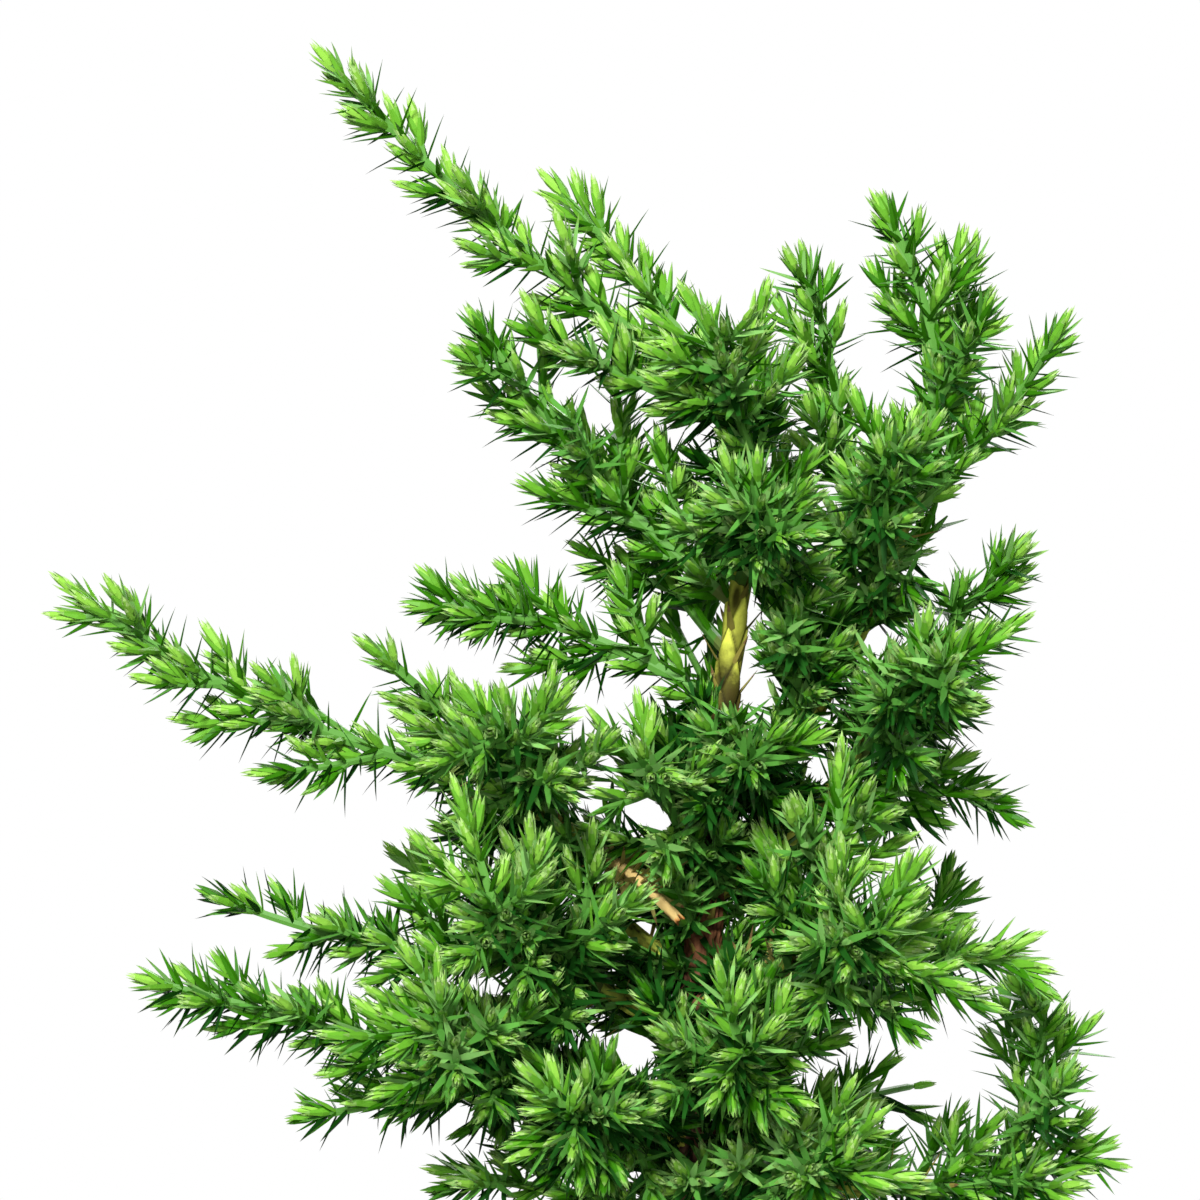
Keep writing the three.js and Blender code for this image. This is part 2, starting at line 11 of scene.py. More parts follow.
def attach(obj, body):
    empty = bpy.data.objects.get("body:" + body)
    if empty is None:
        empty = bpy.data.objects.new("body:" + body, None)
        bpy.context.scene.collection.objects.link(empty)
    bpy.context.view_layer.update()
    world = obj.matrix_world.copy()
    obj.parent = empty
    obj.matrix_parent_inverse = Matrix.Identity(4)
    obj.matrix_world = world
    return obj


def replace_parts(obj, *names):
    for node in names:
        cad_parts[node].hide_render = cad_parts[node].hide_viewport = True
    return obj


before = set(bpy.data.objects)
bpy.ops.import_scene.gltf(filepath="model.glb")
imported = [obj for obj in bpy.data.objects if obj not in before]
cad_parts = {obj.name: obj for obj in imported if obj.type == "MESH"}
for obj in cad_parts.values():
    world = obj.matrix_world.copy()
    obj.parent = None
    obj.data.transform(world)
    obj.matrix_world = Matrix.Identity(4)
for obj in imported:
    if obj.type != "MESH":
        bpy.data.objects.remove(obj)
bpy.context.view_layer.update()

# Sizes are in millimetres and angles in degrees. A noise has its falloff, its scales' step and its layers.
# The tree's own tables are measured from the trunk's foot: +X right, +Y back, +Z up.
MM = 0.001
UP = np.array([0.0, 0.0, 1.0])
RIGHT = np.array([1.0, 0.0, 0.0])
BACK = np.array([0.0, 1.0, 0.0])

# Pot: a rounded rectangle with leaning walls, a rolled rim, four corner feet and two drain holes
POT_LENGTH = 160
POT_WIDTH = 116
POT_HEIGHT = 54
POT_CORNER = 20
POT_LEAN = 9
WALL = 6
RIM_PROUD = 3
RIM_HEIGHT = 8
FLOOR_THICKNESS = 6
FOOT_HEIGHT = 7
FOOT_LENGTH = 30
FOOT_WIDTH = 22
FOOT_CORNER = 6
FOOT_TAPER = 2
FOOT_LEVELS = (0, 0.08, 0.5, 1)
FOOT_EDGE = 0.04
DRAIN_RADIUS = 6
DRAIN_SPACING = 70
DRAIN_SIDES = 40
EDGE_ROUND = 1.5
CORNER_STEPS = 14
EDGE_STEPS = 5
WALL_STEPS = 12
FOOT_INSET = 1.5
HAND_UNEVEN = 0.3
HAND_SCALE = 0.03
HAND_SEED = 1
SHARP_ANGLE = 38
CLAY_COLOURS = [(0.0, (0.058, 0.028, 0.018)), (0.55, (0.085, 0.042, 0.026)), (1.0, (0.125, 0.064, 0.04))]
CLAY_SPECKS = [(0.0, (0.45, 0.42, 0.4)), (0.35, (1, 1, 1))]
WORN_CLAY = (0.18, 0.10, 0.068)
RIM_WEAR = 0.35

# Soil: filled to a little below the rim, rising to a flat seat under the trunk, and covered with grit
SOIL_BELOW_RIM = 7
SOIL_RISE = 4
SEAT_RADIUS = 15
SOIL_CLEAR = 0.3
SOIL_RINGS = 26
SEAT_RINGS = (0.4, 0.8)
SOIL_COLOURS = [(0.0, (0.022, 0.013, 0.008)), (1.0, (0.06, 0.036, 0.022))]
RIM_STEPS = 60
LUMP_SCALE = 0.12
LUMP_HEIGHT = 0.6
LUMP_NOISE = (0.7, 2.0, 3)
LUMP_RANGE = (-1, 0.3)
LUMPS_ABOVE = 0.01
GRIT_COUNT = 4200
GRIT_RADII = (0.6, 1.3)
GRIT_SUNK = 0.35
GRIT_INNER = 8
GRIT_BUMPS = (0.75, 1.2)
GRIT_STRETCH = (0.75, 1.1)
GRIT_ROUGHNESS = 0.85
GRIT_SHINE = 0.2
GRIT_COLOURS = {"earth": (0.06, 0.034, 0.02), "clay": (0.16, 0.075, 0.038), "stone": (0.16, 0.145, 0.125)}
GRIT_SHARES = (0.5, 0.3, 0.2)

# The tree stands right of the pot's middle
SEAT_Z = POT_HEIGHT - SOIL_BELOW_RIM + SOIL_RISE
PLANT = np.array([21.0, 3.0, SEAT_Z])

# Trunk: leans to the right as it climbs, and flares into three roots at the ground
TRUNK_HEIGHT = 163
TRUNK_LEAN = 7.3
TRUNK_BEND = 2.2
TRUNK_SWAY = 2.2
TRUNK_SWAY_BACK = 1.5
TRUNK_BASE_RADIUS = 4.6
TRUNK_TOP_RADIUS = 2.1
TAPER_POWER = 0.9
FLARE = 4.2
FLARE_FADE = 9
FLARE_ROOTS = 3
ROOT_PROUD = 0.35
ROOT_TURN = 60

# Bark: pointed leaf bases on young limbs, flaking strips on old ones, by age from 0 to 1
LEAF_BASE_ROWS = 27
LEAF_BASE_PITCH = TRUNK_HEIGHT / LEAF_BASE_ROWS
LEAF_BASE_GROOVE = 0.2
LEAF_BASE_LIFT = 0.5
LEAF_BASE_PROUD = 0.75
FIBRE_PROUD = 0.75
FIBRE_SCALE = np.array([0.75, 0.75, 0.09])
FIBRE_NOISE = (0.8, 2.2, 4)
FIBRE_DEPTH = 1.6
YOUNG_BARK = 0.4
FLAKES_WITHIN = 0.25
RELIEF_LEVEL = 0.6
END_RELIEF = 0.5
BARK_STEP = 0.6
TRUNK_SIDES = 48
BOUGH_SIDES = 18
# The trunk's bark age by share of its height; its knots near the top also set where the bark's painted light
# and painted shadow fall
TRUNK_AGES = ((0.0, 0.5, 0.81, 0.86, 0.93, 1.0), (1.0, 0.8, 0.5, 0.32, 0.17, 0.14))
BOUGH_AGE = 0.26
AGE_POWER = 0.5
COLLAR_SWELL = 0.6
COLLAR_FADE = 4
BARK_PATCHES = 0.07
# Bark colours by age, from young to old. The bright straw green at 0.15 is partly painted light, and the
# near-black stops at 0.32 and 0.5, which fall on the trunk some way below the fork, are painted shadow
BARK_COLOURS_WITH_PAINTED_LIGHT_AND_SHADOW = [
    (0.0, (0.10, 0.22, 0.035)),
    (0.15, (0.66, 0.74, 0.10)),
    (0.32, (0.085, 0.085, 0.012)),
    (0.5, (0.04, 0.022, 0.007)),
    (0.75, (0.13, 0.055, 0.025)),
    (1.0, (0.14, 0.09, 0.062)),
]
# Painted shade on the bark: shares of its colour by its relief, darkest in the grooves and a little above
# one on the ridges
PAINTED_GROOVE_SHADE = [(0.0, (0.12, 0.1, 0.08)), (0.45, (0.75, 0.72, 0.68)), (0.9, (1.15, 1.12, 1.05))]

# A side branch that was cut off, as the boughs below; how ragged its end is, how much of it has no needles,
# and the name, colour and roughness of its peeled side and its torn end
STUB = dict(
    on="left_long_bough", at=0.48, tip=(-5, -18, 98.5), bow=(0, -2, 1), radii=(0.9, 1.05), age=0.2)
STUB_RAGGED = 0.9
STUB_BARE = 7
STUB_FINISHES = [("peeled_wood", (0.46, 0.33, 0.12), 0.7), ("torn_wood", (0.5, 0.2, 0.05), 0.8)]

# A scar under the fork, sunk in and darkened by the bark's painted groove shade: its height on the trunk,
# the degrees round it, its two half sizes, and the share of them that is sunk all the way
SCAR = dict(at=155.5, turn=-106, long=3.2, wide=1.1, deep=0.5)

# Floor under the pot, only for the pictures
FLOOR_RADIUS = 390
FLOOR_SOLID = 200
FLOOR_SIDES = 96
FLOOR_COLOUR = (0.82, 0.82, 0.82)
FLOOR_ROUGHNESS = 0.8

# Camera, lights and room, with the lights' places and sizes in metres
SENSOR = 36
LENS = 114
CAMERA_TARGET = (1.75, 3, 206)
CAMERA_LIFT = 4
CAMERA_AWAY = 700
LIGHTS = [
    dict(name="key", place=(-0.2, -1.1, 0.8), size=0.2, power=33.5),
    dict(name="front", place=(0.15, -1.2, 0.3), size=0.6, power=5.5),
    dict(name="fill", place=(0.9, -0.5, 0.5), size=0.8, power=2),
    dict(name="back", place=(0.4, 1.1, 0.7), size=0.8, power=18),
]
LIGHT_AIM = (0, 0, 0.2)
ROOM_GLOW = 0.03

# Boughs: where each starts, which is a height on the trunk or a share of the bough that carries it, then its
# tip, how far its middle bows off a straight line, its two radii and, if it is younger, its bark's age
BOUGHS = [
    dict(
        name="leader_bough", at=TRUNK_HEIGHT, tip=(-2.5, -2, 197), bow=(7, -2, -1),
        radii=(2.0, 1.5), age=0.05),
    dict(name="riser_bough", at=118, tip=(27, 10, 154), bow=(4, -1, -5), radii=(1.9, 1.4)),
    dict(
        name="right_top_bough", on="riser_bough", at=0.6,
        tip=(40, 2, 181), bow=(2, 0, -2), radii=(1.4, 1.2)),
    dict(name="right_shoulder_bough", at=103, tip=(34, -4, 136), bow=(2, -2, -3), radii=(1.7, 1.3)),
    dict(name="left_long_bough", at=95, tip=(-43, -4, 124), bow=(0, -2, 1), radii=(2.0, 1.4)),
    dict(name="left_low_bough", at=73, tip=(-27, -2, 89), bow=(0, 0, -1), radii=(1.9, 1.4)),
    dict(name="left_bottom_bough", at=54, tip=(-43, -4, 68), bow=(0, -2, 2), radii=(2.0, 1.4)),
    dict(name="front_right_bough", at=81, tip=(21, -28, 92), bow=(2, 0, 2), radii=(1.9, 1.4)),
    dict(name="right_bottom_bough", at=36, tip=(51, -6, 46), bow=(0, 0, 4), radii=(2.0, 1.4)),
    dict(name="back_right_bough", at=100, tip=(23, 25, 113), bow=(0, 0, -2), radii=(1.7, 1.3)),
    dict(name="back_left_bough", at=86, tip=(-23, 25, 99), bow=(0, 0, -2), radii=(1.8, 1.3)),
]

# Two habits of a mass: how far apart its side shoots leave the stem, how many degrees they stand off it,
# the length of the lowest of them, and the length of the last as a share of that
SLENDER = dict(every=10, spread=40, side=26, taper=0.3)
ROUND = dict(every=5.5, spread=58, side=25, taper=0.55)

# Masses, under the limb that carries each: where on it the stem starts, the stem's tip and its bow, the
# length of the lowest side shoot if it isn't its habit's, and how far its side shoots are turned round it.
# A mass without at grows on from its bough's tip, and one without a habit is slender.
MASSES = {
    "leader_bough": [
        dict(name="leader", tip=(-71.5, -6, 256.5), bow=(-1.5, 0, -3), side=25, turn=240),
        dict(name="leader_side", at=0.85, tip=(-31, 10, 234.5), bow=(2, 0, 1), side=19, turn=160),
        dict(name="upper_left", at=0.72, tip=(-37, -14, 206.5), side=25, turn=200),
        dict(name="upper_front", at=0.45, tip=(-1, -24, 209), side=25, turn=320, habit=ROUND),
    ],
    "riser_bough": [
        dict(name="top_middle", tip=(18, 16, 221.5), bow=(3, 0, 0), side=32),
        dict(name="back_upper_right", at=0.75, tip=(52, 22, 224), bow=(3, 6, -6), side=22),
        dict(name="inner_right", at=0.35, tip=(13, -22, 164), bow=(3, 0, 0), side=20, habit=ROUND),
    ],
    "right_top_bough": [
        dict(name="right_top", tip=(30, 0, 230.5), bow=(6, 0, 0), side=32, turn=80),
        dict(name="right_top_outer", at=0.8, tip=(66.5, -6, 209), bow=(1, 0, -3), side=17, turn=320),
        dict(name="right_upper_front", at=0.4, tip=(32, -29, 188), bow=(0, -4, 0), side=21, habit=ROUND),
    ],
    "right_shoulder_bough": [
        dict(name="right_shoulder", tip=(58.5, -10, 168), turn=200),
        dict(name="right_shoulder_front", at=0.8, tip=(43, -38, 148), side=22, turn=200, habit=ROUND),
        dict(name="right_arm", at=0.55, tip=(58.5, 3, 117), bow=(0, 0, 2), side=26, turn=160),
    ],
    "left_long_bough": [
        dict(name="left_long", tip=(-119, -12, 161), bow=(0, 0, -6), side=30, turn=160),
        dict(name="left_long_upper", at=0.88, tip=(-64, -17, 150), bow=(2, 0, 1), side=18),
        dict(name="left_front_upper", at=0.62, tip=(-39, -42, 138), side=31, turn=320, habit=ROUND),
    ],
    "left_low_bough": [
        dict(name="left_low", tip=(-94.5, 4, 101), bow=(0, 0, -4)),
        dict(name="left_dome", at=0.7, tip=(-41, -52, 108), side=36, turn=40, habit=ROUND),
    ],
    "left_bottom_bough": [
        dict(name="left_bottom", tip=(-105.5, -8, 86.5), bow=(0, 0, 0.5), side=24, turn=160),
        dict(name="left_bottom_low", at=0.85, tip=(-78, 8, 56), side=17, turn=240),
        dict(name="front_left_low", at=0.5, tip=(-52, -50, 86), side=33, turn=320, habit=ROUND),
        dict(name="front_low", at=0.2, tip=(-26, -58, 71), side=28, habit=ROUND),
    ],
    "front_right_bough": [
        dict(name="front_right_outer", tip=(60.5, -42, 93), bow=(0, 0, 2), side=28, turn=160),
        dict(name="front_right", at=0.85, tip=(27, -66, 104), side=33, turn=160, habit=ROUND),
        dict(
            name="front_right_upper", at=0.6, tip=(28, -28, 124), bow=(-1, 0, 0), side=25, turn=80,
            habit=ROUND),
    ],
    "right_bottom_bough": [
        dict(name="right_bottom", tip=(61, -14, 86.5), bow=(4, 0, 0), side=32, turn=80),
        dict(name="right_bottom_outer", at=0.6, tip=(76.5, -8, 56.5), bow=(0, -5, -2), side=27),
    ],
    "back_right_bough": [dict(name="back_right", tip=(54, 54, 140), bow=(0, 0, -2))],
    "back_left_bough": [dict(name="back_left", tip=(-58, 56, 128), bow=(0, 0, -3), side=30)],
    "trunk": [
        dict(name="fork_front", at=158, tip=(9, -41, 176), side=24, habit=ROUND),
        dict(name="left_shoulder", at=154, tip=(-44, -2, 209.5), bow=(-2, 3, -3), side=35, turn=40),
        dict(name="back_upper", at=151, tip=(13, 46, 206), bow=(0, 5, -4), side=32, turn=320),
        dict(name="back_upper_left", at=145, tip=(-26, 42, 191), bow=(0, 3, -4), side=32, turn=320),
        dict(name="left_mid", at=135, tip=(-56, 6, 153.5), bow=(0, 0, 5.5), side=30, turn=40),
        dict(name="back_middle", at=124, tip=(2, 54, 160), bow=(0, 3, -4), side=30, turn=120),
        dict(name="upper_centre_front", at=118, tip=(10, -34, 133), side=26, turn=120, habit=ROUND),
        dict(name="front_centre", at=102, tip=(-13, -34, 133), side=28, turn=120, habit=ROUND),
        dict(name="back_centre", at=90, tip=(-4, 64, 112), bow=(0, 0, -3), side=28),
        dict(name="back_right_low", at=72, tip=(56, 46, 96), bow=(0, 0, -3), side=32, turn=160),
        dict(name="back_left_low", at=70, tip=(-62, 46, 104), bow=(0, 0, -3), side=28),
        dict(name="front_rosette", at=66, tip=(6.5, -58, 82.5), side=30, turn=40, habit=ROUND),
        dict(name="back_low", at=54, tip=(2, 70, 74), bow=(0, 0, -2), side=28),
        dict(name="back_low_right", at=50, tip=(46, 40, 57), bow=(0, 0, 2), side=32, turn=40),
        dict(name="bottom_front", at=48, tip=(25, -48, 60.5), side=30, turn=240, habit=ROUND),
        dict(name="back_low_left", at=46, tip=(-46, 50, 56), bow=(0, 0, 2)),
        dict(name="bottom_left", at=40, tip=(-52, -4, 50), side=29, turn=40),
    ],
}

# The parts of the crown that are joined into pieces, and the limbs whose masses are in each
ZONES = {
    "top": ["leader_bough", "riser_bough", "right_top_bough"],
    "right": ["right_shoulder_bough", "front_right_bough", "right_bottom_bough"],
    "left": ["left_long_bough", "left_low_bough", "left_bottom_bough"],
    "middle": ["trunk", "back_right_bough", "back_left_bough"],
}
ZONE_OF = {limb: zone for zone, carriers in ZONES.items() for limb in carriers}

# Side shoots: spread evenly up the stem by the golden angle, each leaning forward and turning up at its end
FIRST_SHOOT = 0.16
LAST_SHOOT = 0.88
GOLDEN_ANGLE = 137.5
SPREAD_WANDER = 8
ROLL_WANDER = 25
LENGTH_WANDER = 0.15
PLACE_WANDER = 0.3
SHOOT_FORWARD = 0.35
SHOOT_LIFT = 0.2
STEEP = 0.9

# Shoots that the solids leave out: spurs along every twig, and young ones on round masses and limbs. Each
# row has their spacing, how far they stay from the two ends, their lengths and the degrees they stand off.
# On a twig they are also no longer than a share of the way to its tip.
SPURS = dict(every=3.7, from_root=2, from_tip=6.5, lengths=(4, 8.5), spreads=(26, 46), short=0.65)
ROUND_SHOOTS = dict(every=4, from_root=12, from_tip=3, lengths=(9, 19), spreads=(34, 68), short=1.2)
BOUGH_SHOOTS = dict(every=5, from_root=6, from_tip=2, lengths=(9, 18), spreads=(42, 72))
TRUNK_SHOOTS = dict(every=2.2, from_root=32, from_tip=40, lengths=(13, 26), spreads=(52, 80))
EVERY_WANDER = 0.25

# A bud's needles stand this far past the end of its twig, so each twig ends short of its solid by that much
BUD_PROUD = 3.9

# Twigs of each order: radii at the root and tip, the space between whorls of needles, and the bare foot
STEM = dict(radii=(1.2, 0.65), internode=3.4, bare=2)
SIDE = dict(radii=(0.8, 0.5), internode=2.8, bare=1)
SPUR = dict(radii=(0.6, 0.4), internode=2.0, bare=0.5)

# Old whorls that stay on the limbs, as on a shoot that is older by so many millimetres: where the first
# stands, in internodes from the tip, the space between whorls, the bare foot and the share of dry needles.
# Those of the trunk stand at its leaf bases' tips, so their turn is given, and all are open alike.
OLD_BOUGH = dict(first=0.5, internode=3.2, bare=4, dry=0.4)
OLD_TRUNK = dict(first=0.36, internode=LEAF_BASE_PITCH, bare=60, dry=1, turn=90, opened=6)
OLD_STUB = dict(first=0.5, internode=1.4, bare=2, dry=1)
OLD_BY = 15

# Twigs have ridges, a pointed end, and old straw-coloured wood on the lowest share of each stem
TWIG_STEP = 2.5
TWIG_LEAST_STEPS = 3
TWIG_POINT = 0.3
TWIG_SIDES = 6
TWIG_RIDGE = 0.14
STRAW_SHARE = 0.12
TWIG_FINISHES = [("twig_green", (0.075, 0.215, 0.032), 0.5), ("twig_straw", (0.11, 0.16, 0.035), 0.65)]

# Needles, by their distance from the shoot's tip: they leave the bud crowded and upright, then open and
# spread. On a slow shoot they open nearer to its tip, by a power of its vigour.
BUD_SPACING = 1.0
OPEN_AFTER = 11
FIRST_WHORL = 0.3
AGES = (0, 3, 7, 15)
SPREADS = (6, 18, 43, 64)
LENGTHS = (4.3, 5.5, 8.0, 9.0)
WIDTHS = (1.25, 1.6, 1.5, 1.3)
CURLS = (0.13, 0.1, 0.0, -0.07)
OPENING = 0.6
NEEDLES_ROUND = 3
NEEDLE_TURN_WANDER = 14
NEEDLE_SPREAD_WANDER = 8
SPREAD_WANDERS = (0.2, 0.5, 1, 1.4)
NEEDLE_LENGTH_WANDER = 0.14
NEEDLE_FOOT = 0.5

# A needle's sections from its foot: the share of its length, and its half width as a share of the widest
SECTIONS = (0.0, 0.27, 0.74)
HALF_WIDTHS = (0.75, 1.0, 0.5)
KEEL = 0.5
CORNERS = 3

# Needle colours: bud, young and mature from the youngest to the oldest, then deep, which is only painted
# shade, and straw for dry needles; each as the keeled back, the bloomed inner face and the point. Young and
# mature are also painted shade on younger needles of shaded sprays and on younger needles that point down.
NEEDLE_COLOURS = {
    "bud": [(0.19, 0.41, 0.045), (0.29, 0.49, 0.15), (0.28, 0.45, 0.13)],
    "young": [(0.093, 0.278, 0.018), (0.17, 0.376, 0.092), (0.15, 0.295, 0.06)],
    "mature": [(0.027, 0.138, 0.003), (0.072, 0.236, 0.034), (0.05, 0.15, 0.02)],
    "deep": [(0.003, 0.032, 0.001), (0.009, 0.062, 0.006), (0.008, 0.027, 0.003)],
    "straw": [(0.22, 0.19, 0.04), (0.28, 0.25, 0.07), (0.16, 0.10, 0.04)],
}
KINDS = list(NEEDLE_COLOURS)
NEEDLE_ROUGHNESS = {"back": 0.42, "face": 0.5, "point": 0.6}
FRESH_KINDS = ("bud", "young")
FRESH_SHINE = 0.14
OLD_SHINE = 0.07
BUD_REACH = 2.6
YOUNG_REACH = 8
REACH_WANDER = 0.35
DEAD_LIGHT = 0.05
DEAD_SHARE = 0.07

# The light that a spray gets fades with the needles between it and the open air, and decides how dark it is
LIGHT_AT = 0.35
CELL = 7.0
TUBE_CELLS = 3
NEEDLES_TO_FADE = 220
LIGHT_WANDER = 0.16
LIT = 0.45
SHADED = 0.28
# Needles pointing further down than this take a colour one step darker, as painted shade under the sprays
UNDERSIDE = -0.2

# The vigour of shoots, which is how much of each is young: 1 on the masses that grow quickly, and less on
# the other masses and on the limbs. Less vigour also means fewer bright young needles, so darker shoots; on
# the limbs, whose shoots are inside the crown, this darkness is painted shade.
SLOW_VIGOUR = 0.45
LIMB_VIGOUR_AND_SHADE = 0.3
QUICK_MASSES = {
    "leader", "leader_side", "upper_left", "upper_front", "left_long", "left_long_upper",
    "left_front_upper", "left_dome", "front_centre", "front_right", "front_right_outer",
    "front_right_upper", "front_left_low", "front_low", "front_rosette", "bottom_front",
    "back_upper", "back_centre", "back_left_low",
}

# Sky that shows from in front, where the photograph was taken from: through the crown, in the notches of
# its outline, and on both sides of a clear stretch of the trunk. Each gap has its place on the trunk's
# plane (right, up) and its radius.
EYE = np.array([-19.3, -698.0, 204.0])
SKY_GAPS = {
    "crown": [
        (-32, 200, 2), (-26.5, 194, 2), (-19.5, 189.5, 2.6), (-2.5, 150, 2.6), (-2, 144.5, 1.5),
        (31, 148, 2), (9.5, 138.5, 2.8), (21, 124, 1.6), (-20, 117, 1.5), (-11.5, 116, 2.8), (-8, 114, 2),
        (16.5, 111, 1.8), (-12, 93, 2.4), (-13, 71.5, 3.4), (36.5, 65, 3.4), (35.5, 58, 2),
    ],
    "top": [
        (28.5, 221.5, 2.2), (27, 212, 1.8), (27.5, 207, 1.8), (28.5, 201, 1.8), (29, 196, 1.6),
        (6.5, 209.5, 2.4), (-3.7, 207, 1.6),
    ],
    "right": [
        (53.5, 179, 3), (49.5, 174, 2.6), (45, 171.5, 2.4), (45, 166, 2.6), (48.5, 162.5, 2),
        (43, 160.5, 2.4),
    ],
    "left": [
        (-53.2, 144.2, 2.2), (-70.5, 138.5, 2.4), (-67, 134.5, 2.2), (-85, 94.5, 2.2), (-79, 93.5, 2),
        (-46, 58.5, 2.2), (-64, 57, 2.4),
    ],
    "trunk": [
        (6.5, 158, 2.2), (6.5, 154, 2.4), (6.2, 150, 2.4), (5.8, 146, 2.4), (5.4, 142, 2.4), (5, 138, 2.2),
    ],
}

# Shares of a shoot or a needle where it must not cross a gap
GAP_TESTS = (0.2, 0.55, 0.9)

# Numbers from 0 to 1 that the solids draw too
DRAW_FACTOR = 1664525
DRAW_SHIFT = 1013904223
DRAW_RANGE = 2**32


def seeded(seed):
    """Numbers from 0 to 1 that are the same on every run."""
    state = seed
    while True:
        state = (state * DRAW_FACTOR + DRAW_SHIFT) % DRAW_RANGE
        yield state / DRAW_RANGE


def mix(a, b, share):
    return a + (b - a) * share


def unit(vectors):
    return vectors / np.linalg.norm(vectors, axis=-1, keepdims=True)


def round_angles(sides):
    """The angles at which the corners of a ring stand."""
    return np.arange(sides) * 2 * math.pi / sides


def outward(tangents, rolls):
    """Directions at right angles to tangents, turned by rolls in degrees from level towards the sky."""
    tangents = np.asarray(tangents, float)
    level = np.where(np.abs(tangents[..., 2:]) > STEEP, RIGHT, UP)
    side = unit(np.cross(tangents, level))
    over = np.cross(side, tangents)
    turn = np.radians(np.asarray(rolls, float))[..., None]
    return side * np.cos(turn) + over * np.sin(turn)


class Bow:
    """A line from a start to an end that a control point draws aside."""

    MEASURED = np.linspace(0, 1, 201)

    def __init__(self, start, control, end):
        self.start = np.asarray(start, float)
        self.control = np.asarray(control, float)
        self.end = np.asarray(end, float)
        self.length = np.linalg.norm(np.diff(self.points(self.MEASURED), axis=0), axis=1).sum()

    def points(self, shares):
        t = np.asarray(shares, float)[..., None]
        return (1 - t) ** 2 * self.start + 2 * t * (1 - t) * self.control + t**2 * self.end

    def tangents(self, shares):
        t = np.asarray(shares, float)[..., None]
        return unit((1 - t) * (self.control - self.start) + t * (self.end - self.control))

    def shortened(self, cut):
        """The same line without its last cut millimetres."""
        share = 1 - cut / self.length
        return Bow(self.start, mix(self.start, self.control, share), self.points(share))


class TrunkLine:
    """The trunk's centre line, from the ground to the fork."""

    length = TRUNK_HEIGHT
    HAIR = 0.0001

    def points(self, shares):
        t = np.asarray(shares, float)
        x = TRUNK_LEAN * t**TRUNK_BEND - TRUNK_SWAY * np.sin(math.pi * t)
        y = TRUNK_SWAY_BACK * np.sin(2 * math.pi * t)
        return np.stack([x, y, TRUNK_HEIGHT * t], -1)

    def tangents(self, shares):
        t = np.asarray(shares, float)
        return unit(self.points(np.minimum(t + self.HAIR, 1)) - self.points(np.maximum(t - self.HAIR, 0)))


limbs = {"trunk": TrunkLine()}


def bowed(start, tip, bow=(0, 0, 0)):
    """A line from a start to a tip, whose middle stands off the straight by bow."""
    control = (start + np.asarray(tip, float)) / 2 + 2 * np.asarray(bow, float)
    return Bow(start, control, tip)


def root_of(row):
    """Where a child leaves the limb that carries it: at a height on the trunk, or at a share of a bough."""
    on = row.get("on", "trunk")
    at = row.get("at", 1)
    return limbs[on].points(at / TRUNK_HEIGHT if on == "trunk" else at)


@dataclass
class Shoot:
    """One needled twig: its line, its order's habits, the part of the crown it is in, and its vigour.

    A limb that keeps old whorls counts as one too, older by some millimetres than one that ends in a bud.
    """

    line: Bow
    order: dict
    zone: str
    vigour: float = 1
    older: float = 0


def growth(mass, seed):
    """A mass's stem and side shoots, as lines, by the rule that the solids follow."""
    draws = seeded(seed)
    habit = mass.get("habit", SLENDER)

    def wander(size):
        return size * (2 * next(draws) - 1)

    stem = bowed(root_of(mass), mass["tip"], mass.get("bow", (0, 0, 0)))
    count = int(stem.length / habit["every"] + 0.5)
    first_roll = 360 * next(draws) + mass.get("turn", 0)
    sides = []
    for k in range(count):
        share = mix(FIRST_SHOOT, LAST_SHOOT, (k + 0.5 + wander(PLACE_WANDER)) / count)
        tangent = stem.tangents(share)
        roll = first_roll + k * GOLDEN_ANGLE + wander(ROLL_WANDER)
        spread = math.radians(habit["spread"] + wander(SPREAD_WANDER))
        longest = mass.get("side", habit["side"])
        length = longest * mix(1, habit["taper"], share) * (1 + wander(LENGTH_WANDER))
        away = tangent * math.cos(spread) + outward(tangent, roll) * math.sin(spread)
        sides.append(side_line(stem.points(share), away, tangent, length))
    return stem, sides


def side_line(root, away, tangent, length):
    """A shoot that leaves its root straight, then leans forward and up."""
    knee = root + away * length / 2
    ahead = unit(away + tangent * SHOOT_FORWARD + UP * SHOOT_LIFT)
    return Bow(root, knee, knee + ahead * length / 2)


def shoots_on(line, habit, draw):
    """Short shoots along a twig or limb, from its tip down."""
    distance = habit["from_tip"] + habit["every"] * draw.random()
    roll = 360 * draw.random()
    while distance < line.length - habit["from_root"]:
        share = 1 - distance / line.length
        tangent = line.tangents(share)
        spread = math.radians(draw.uniform(*habit["spreads"]))
        away = tangent * math.cos(spread) + outward(tangent, roll) * math.sin(spread)
        length = min(draw.uniform(*habit["lengths"]), habit.get("short", math.inf) * distance)
        yield side_line(line.points(share), away, tangent, length)
        roll += GOLDEN_ANGLE + ROLL_WANDER * draw.uniform(-1, 1)
        distance += habit["every"] * (1 + EVERY_WANDER * draw.uniform(-1, 1))


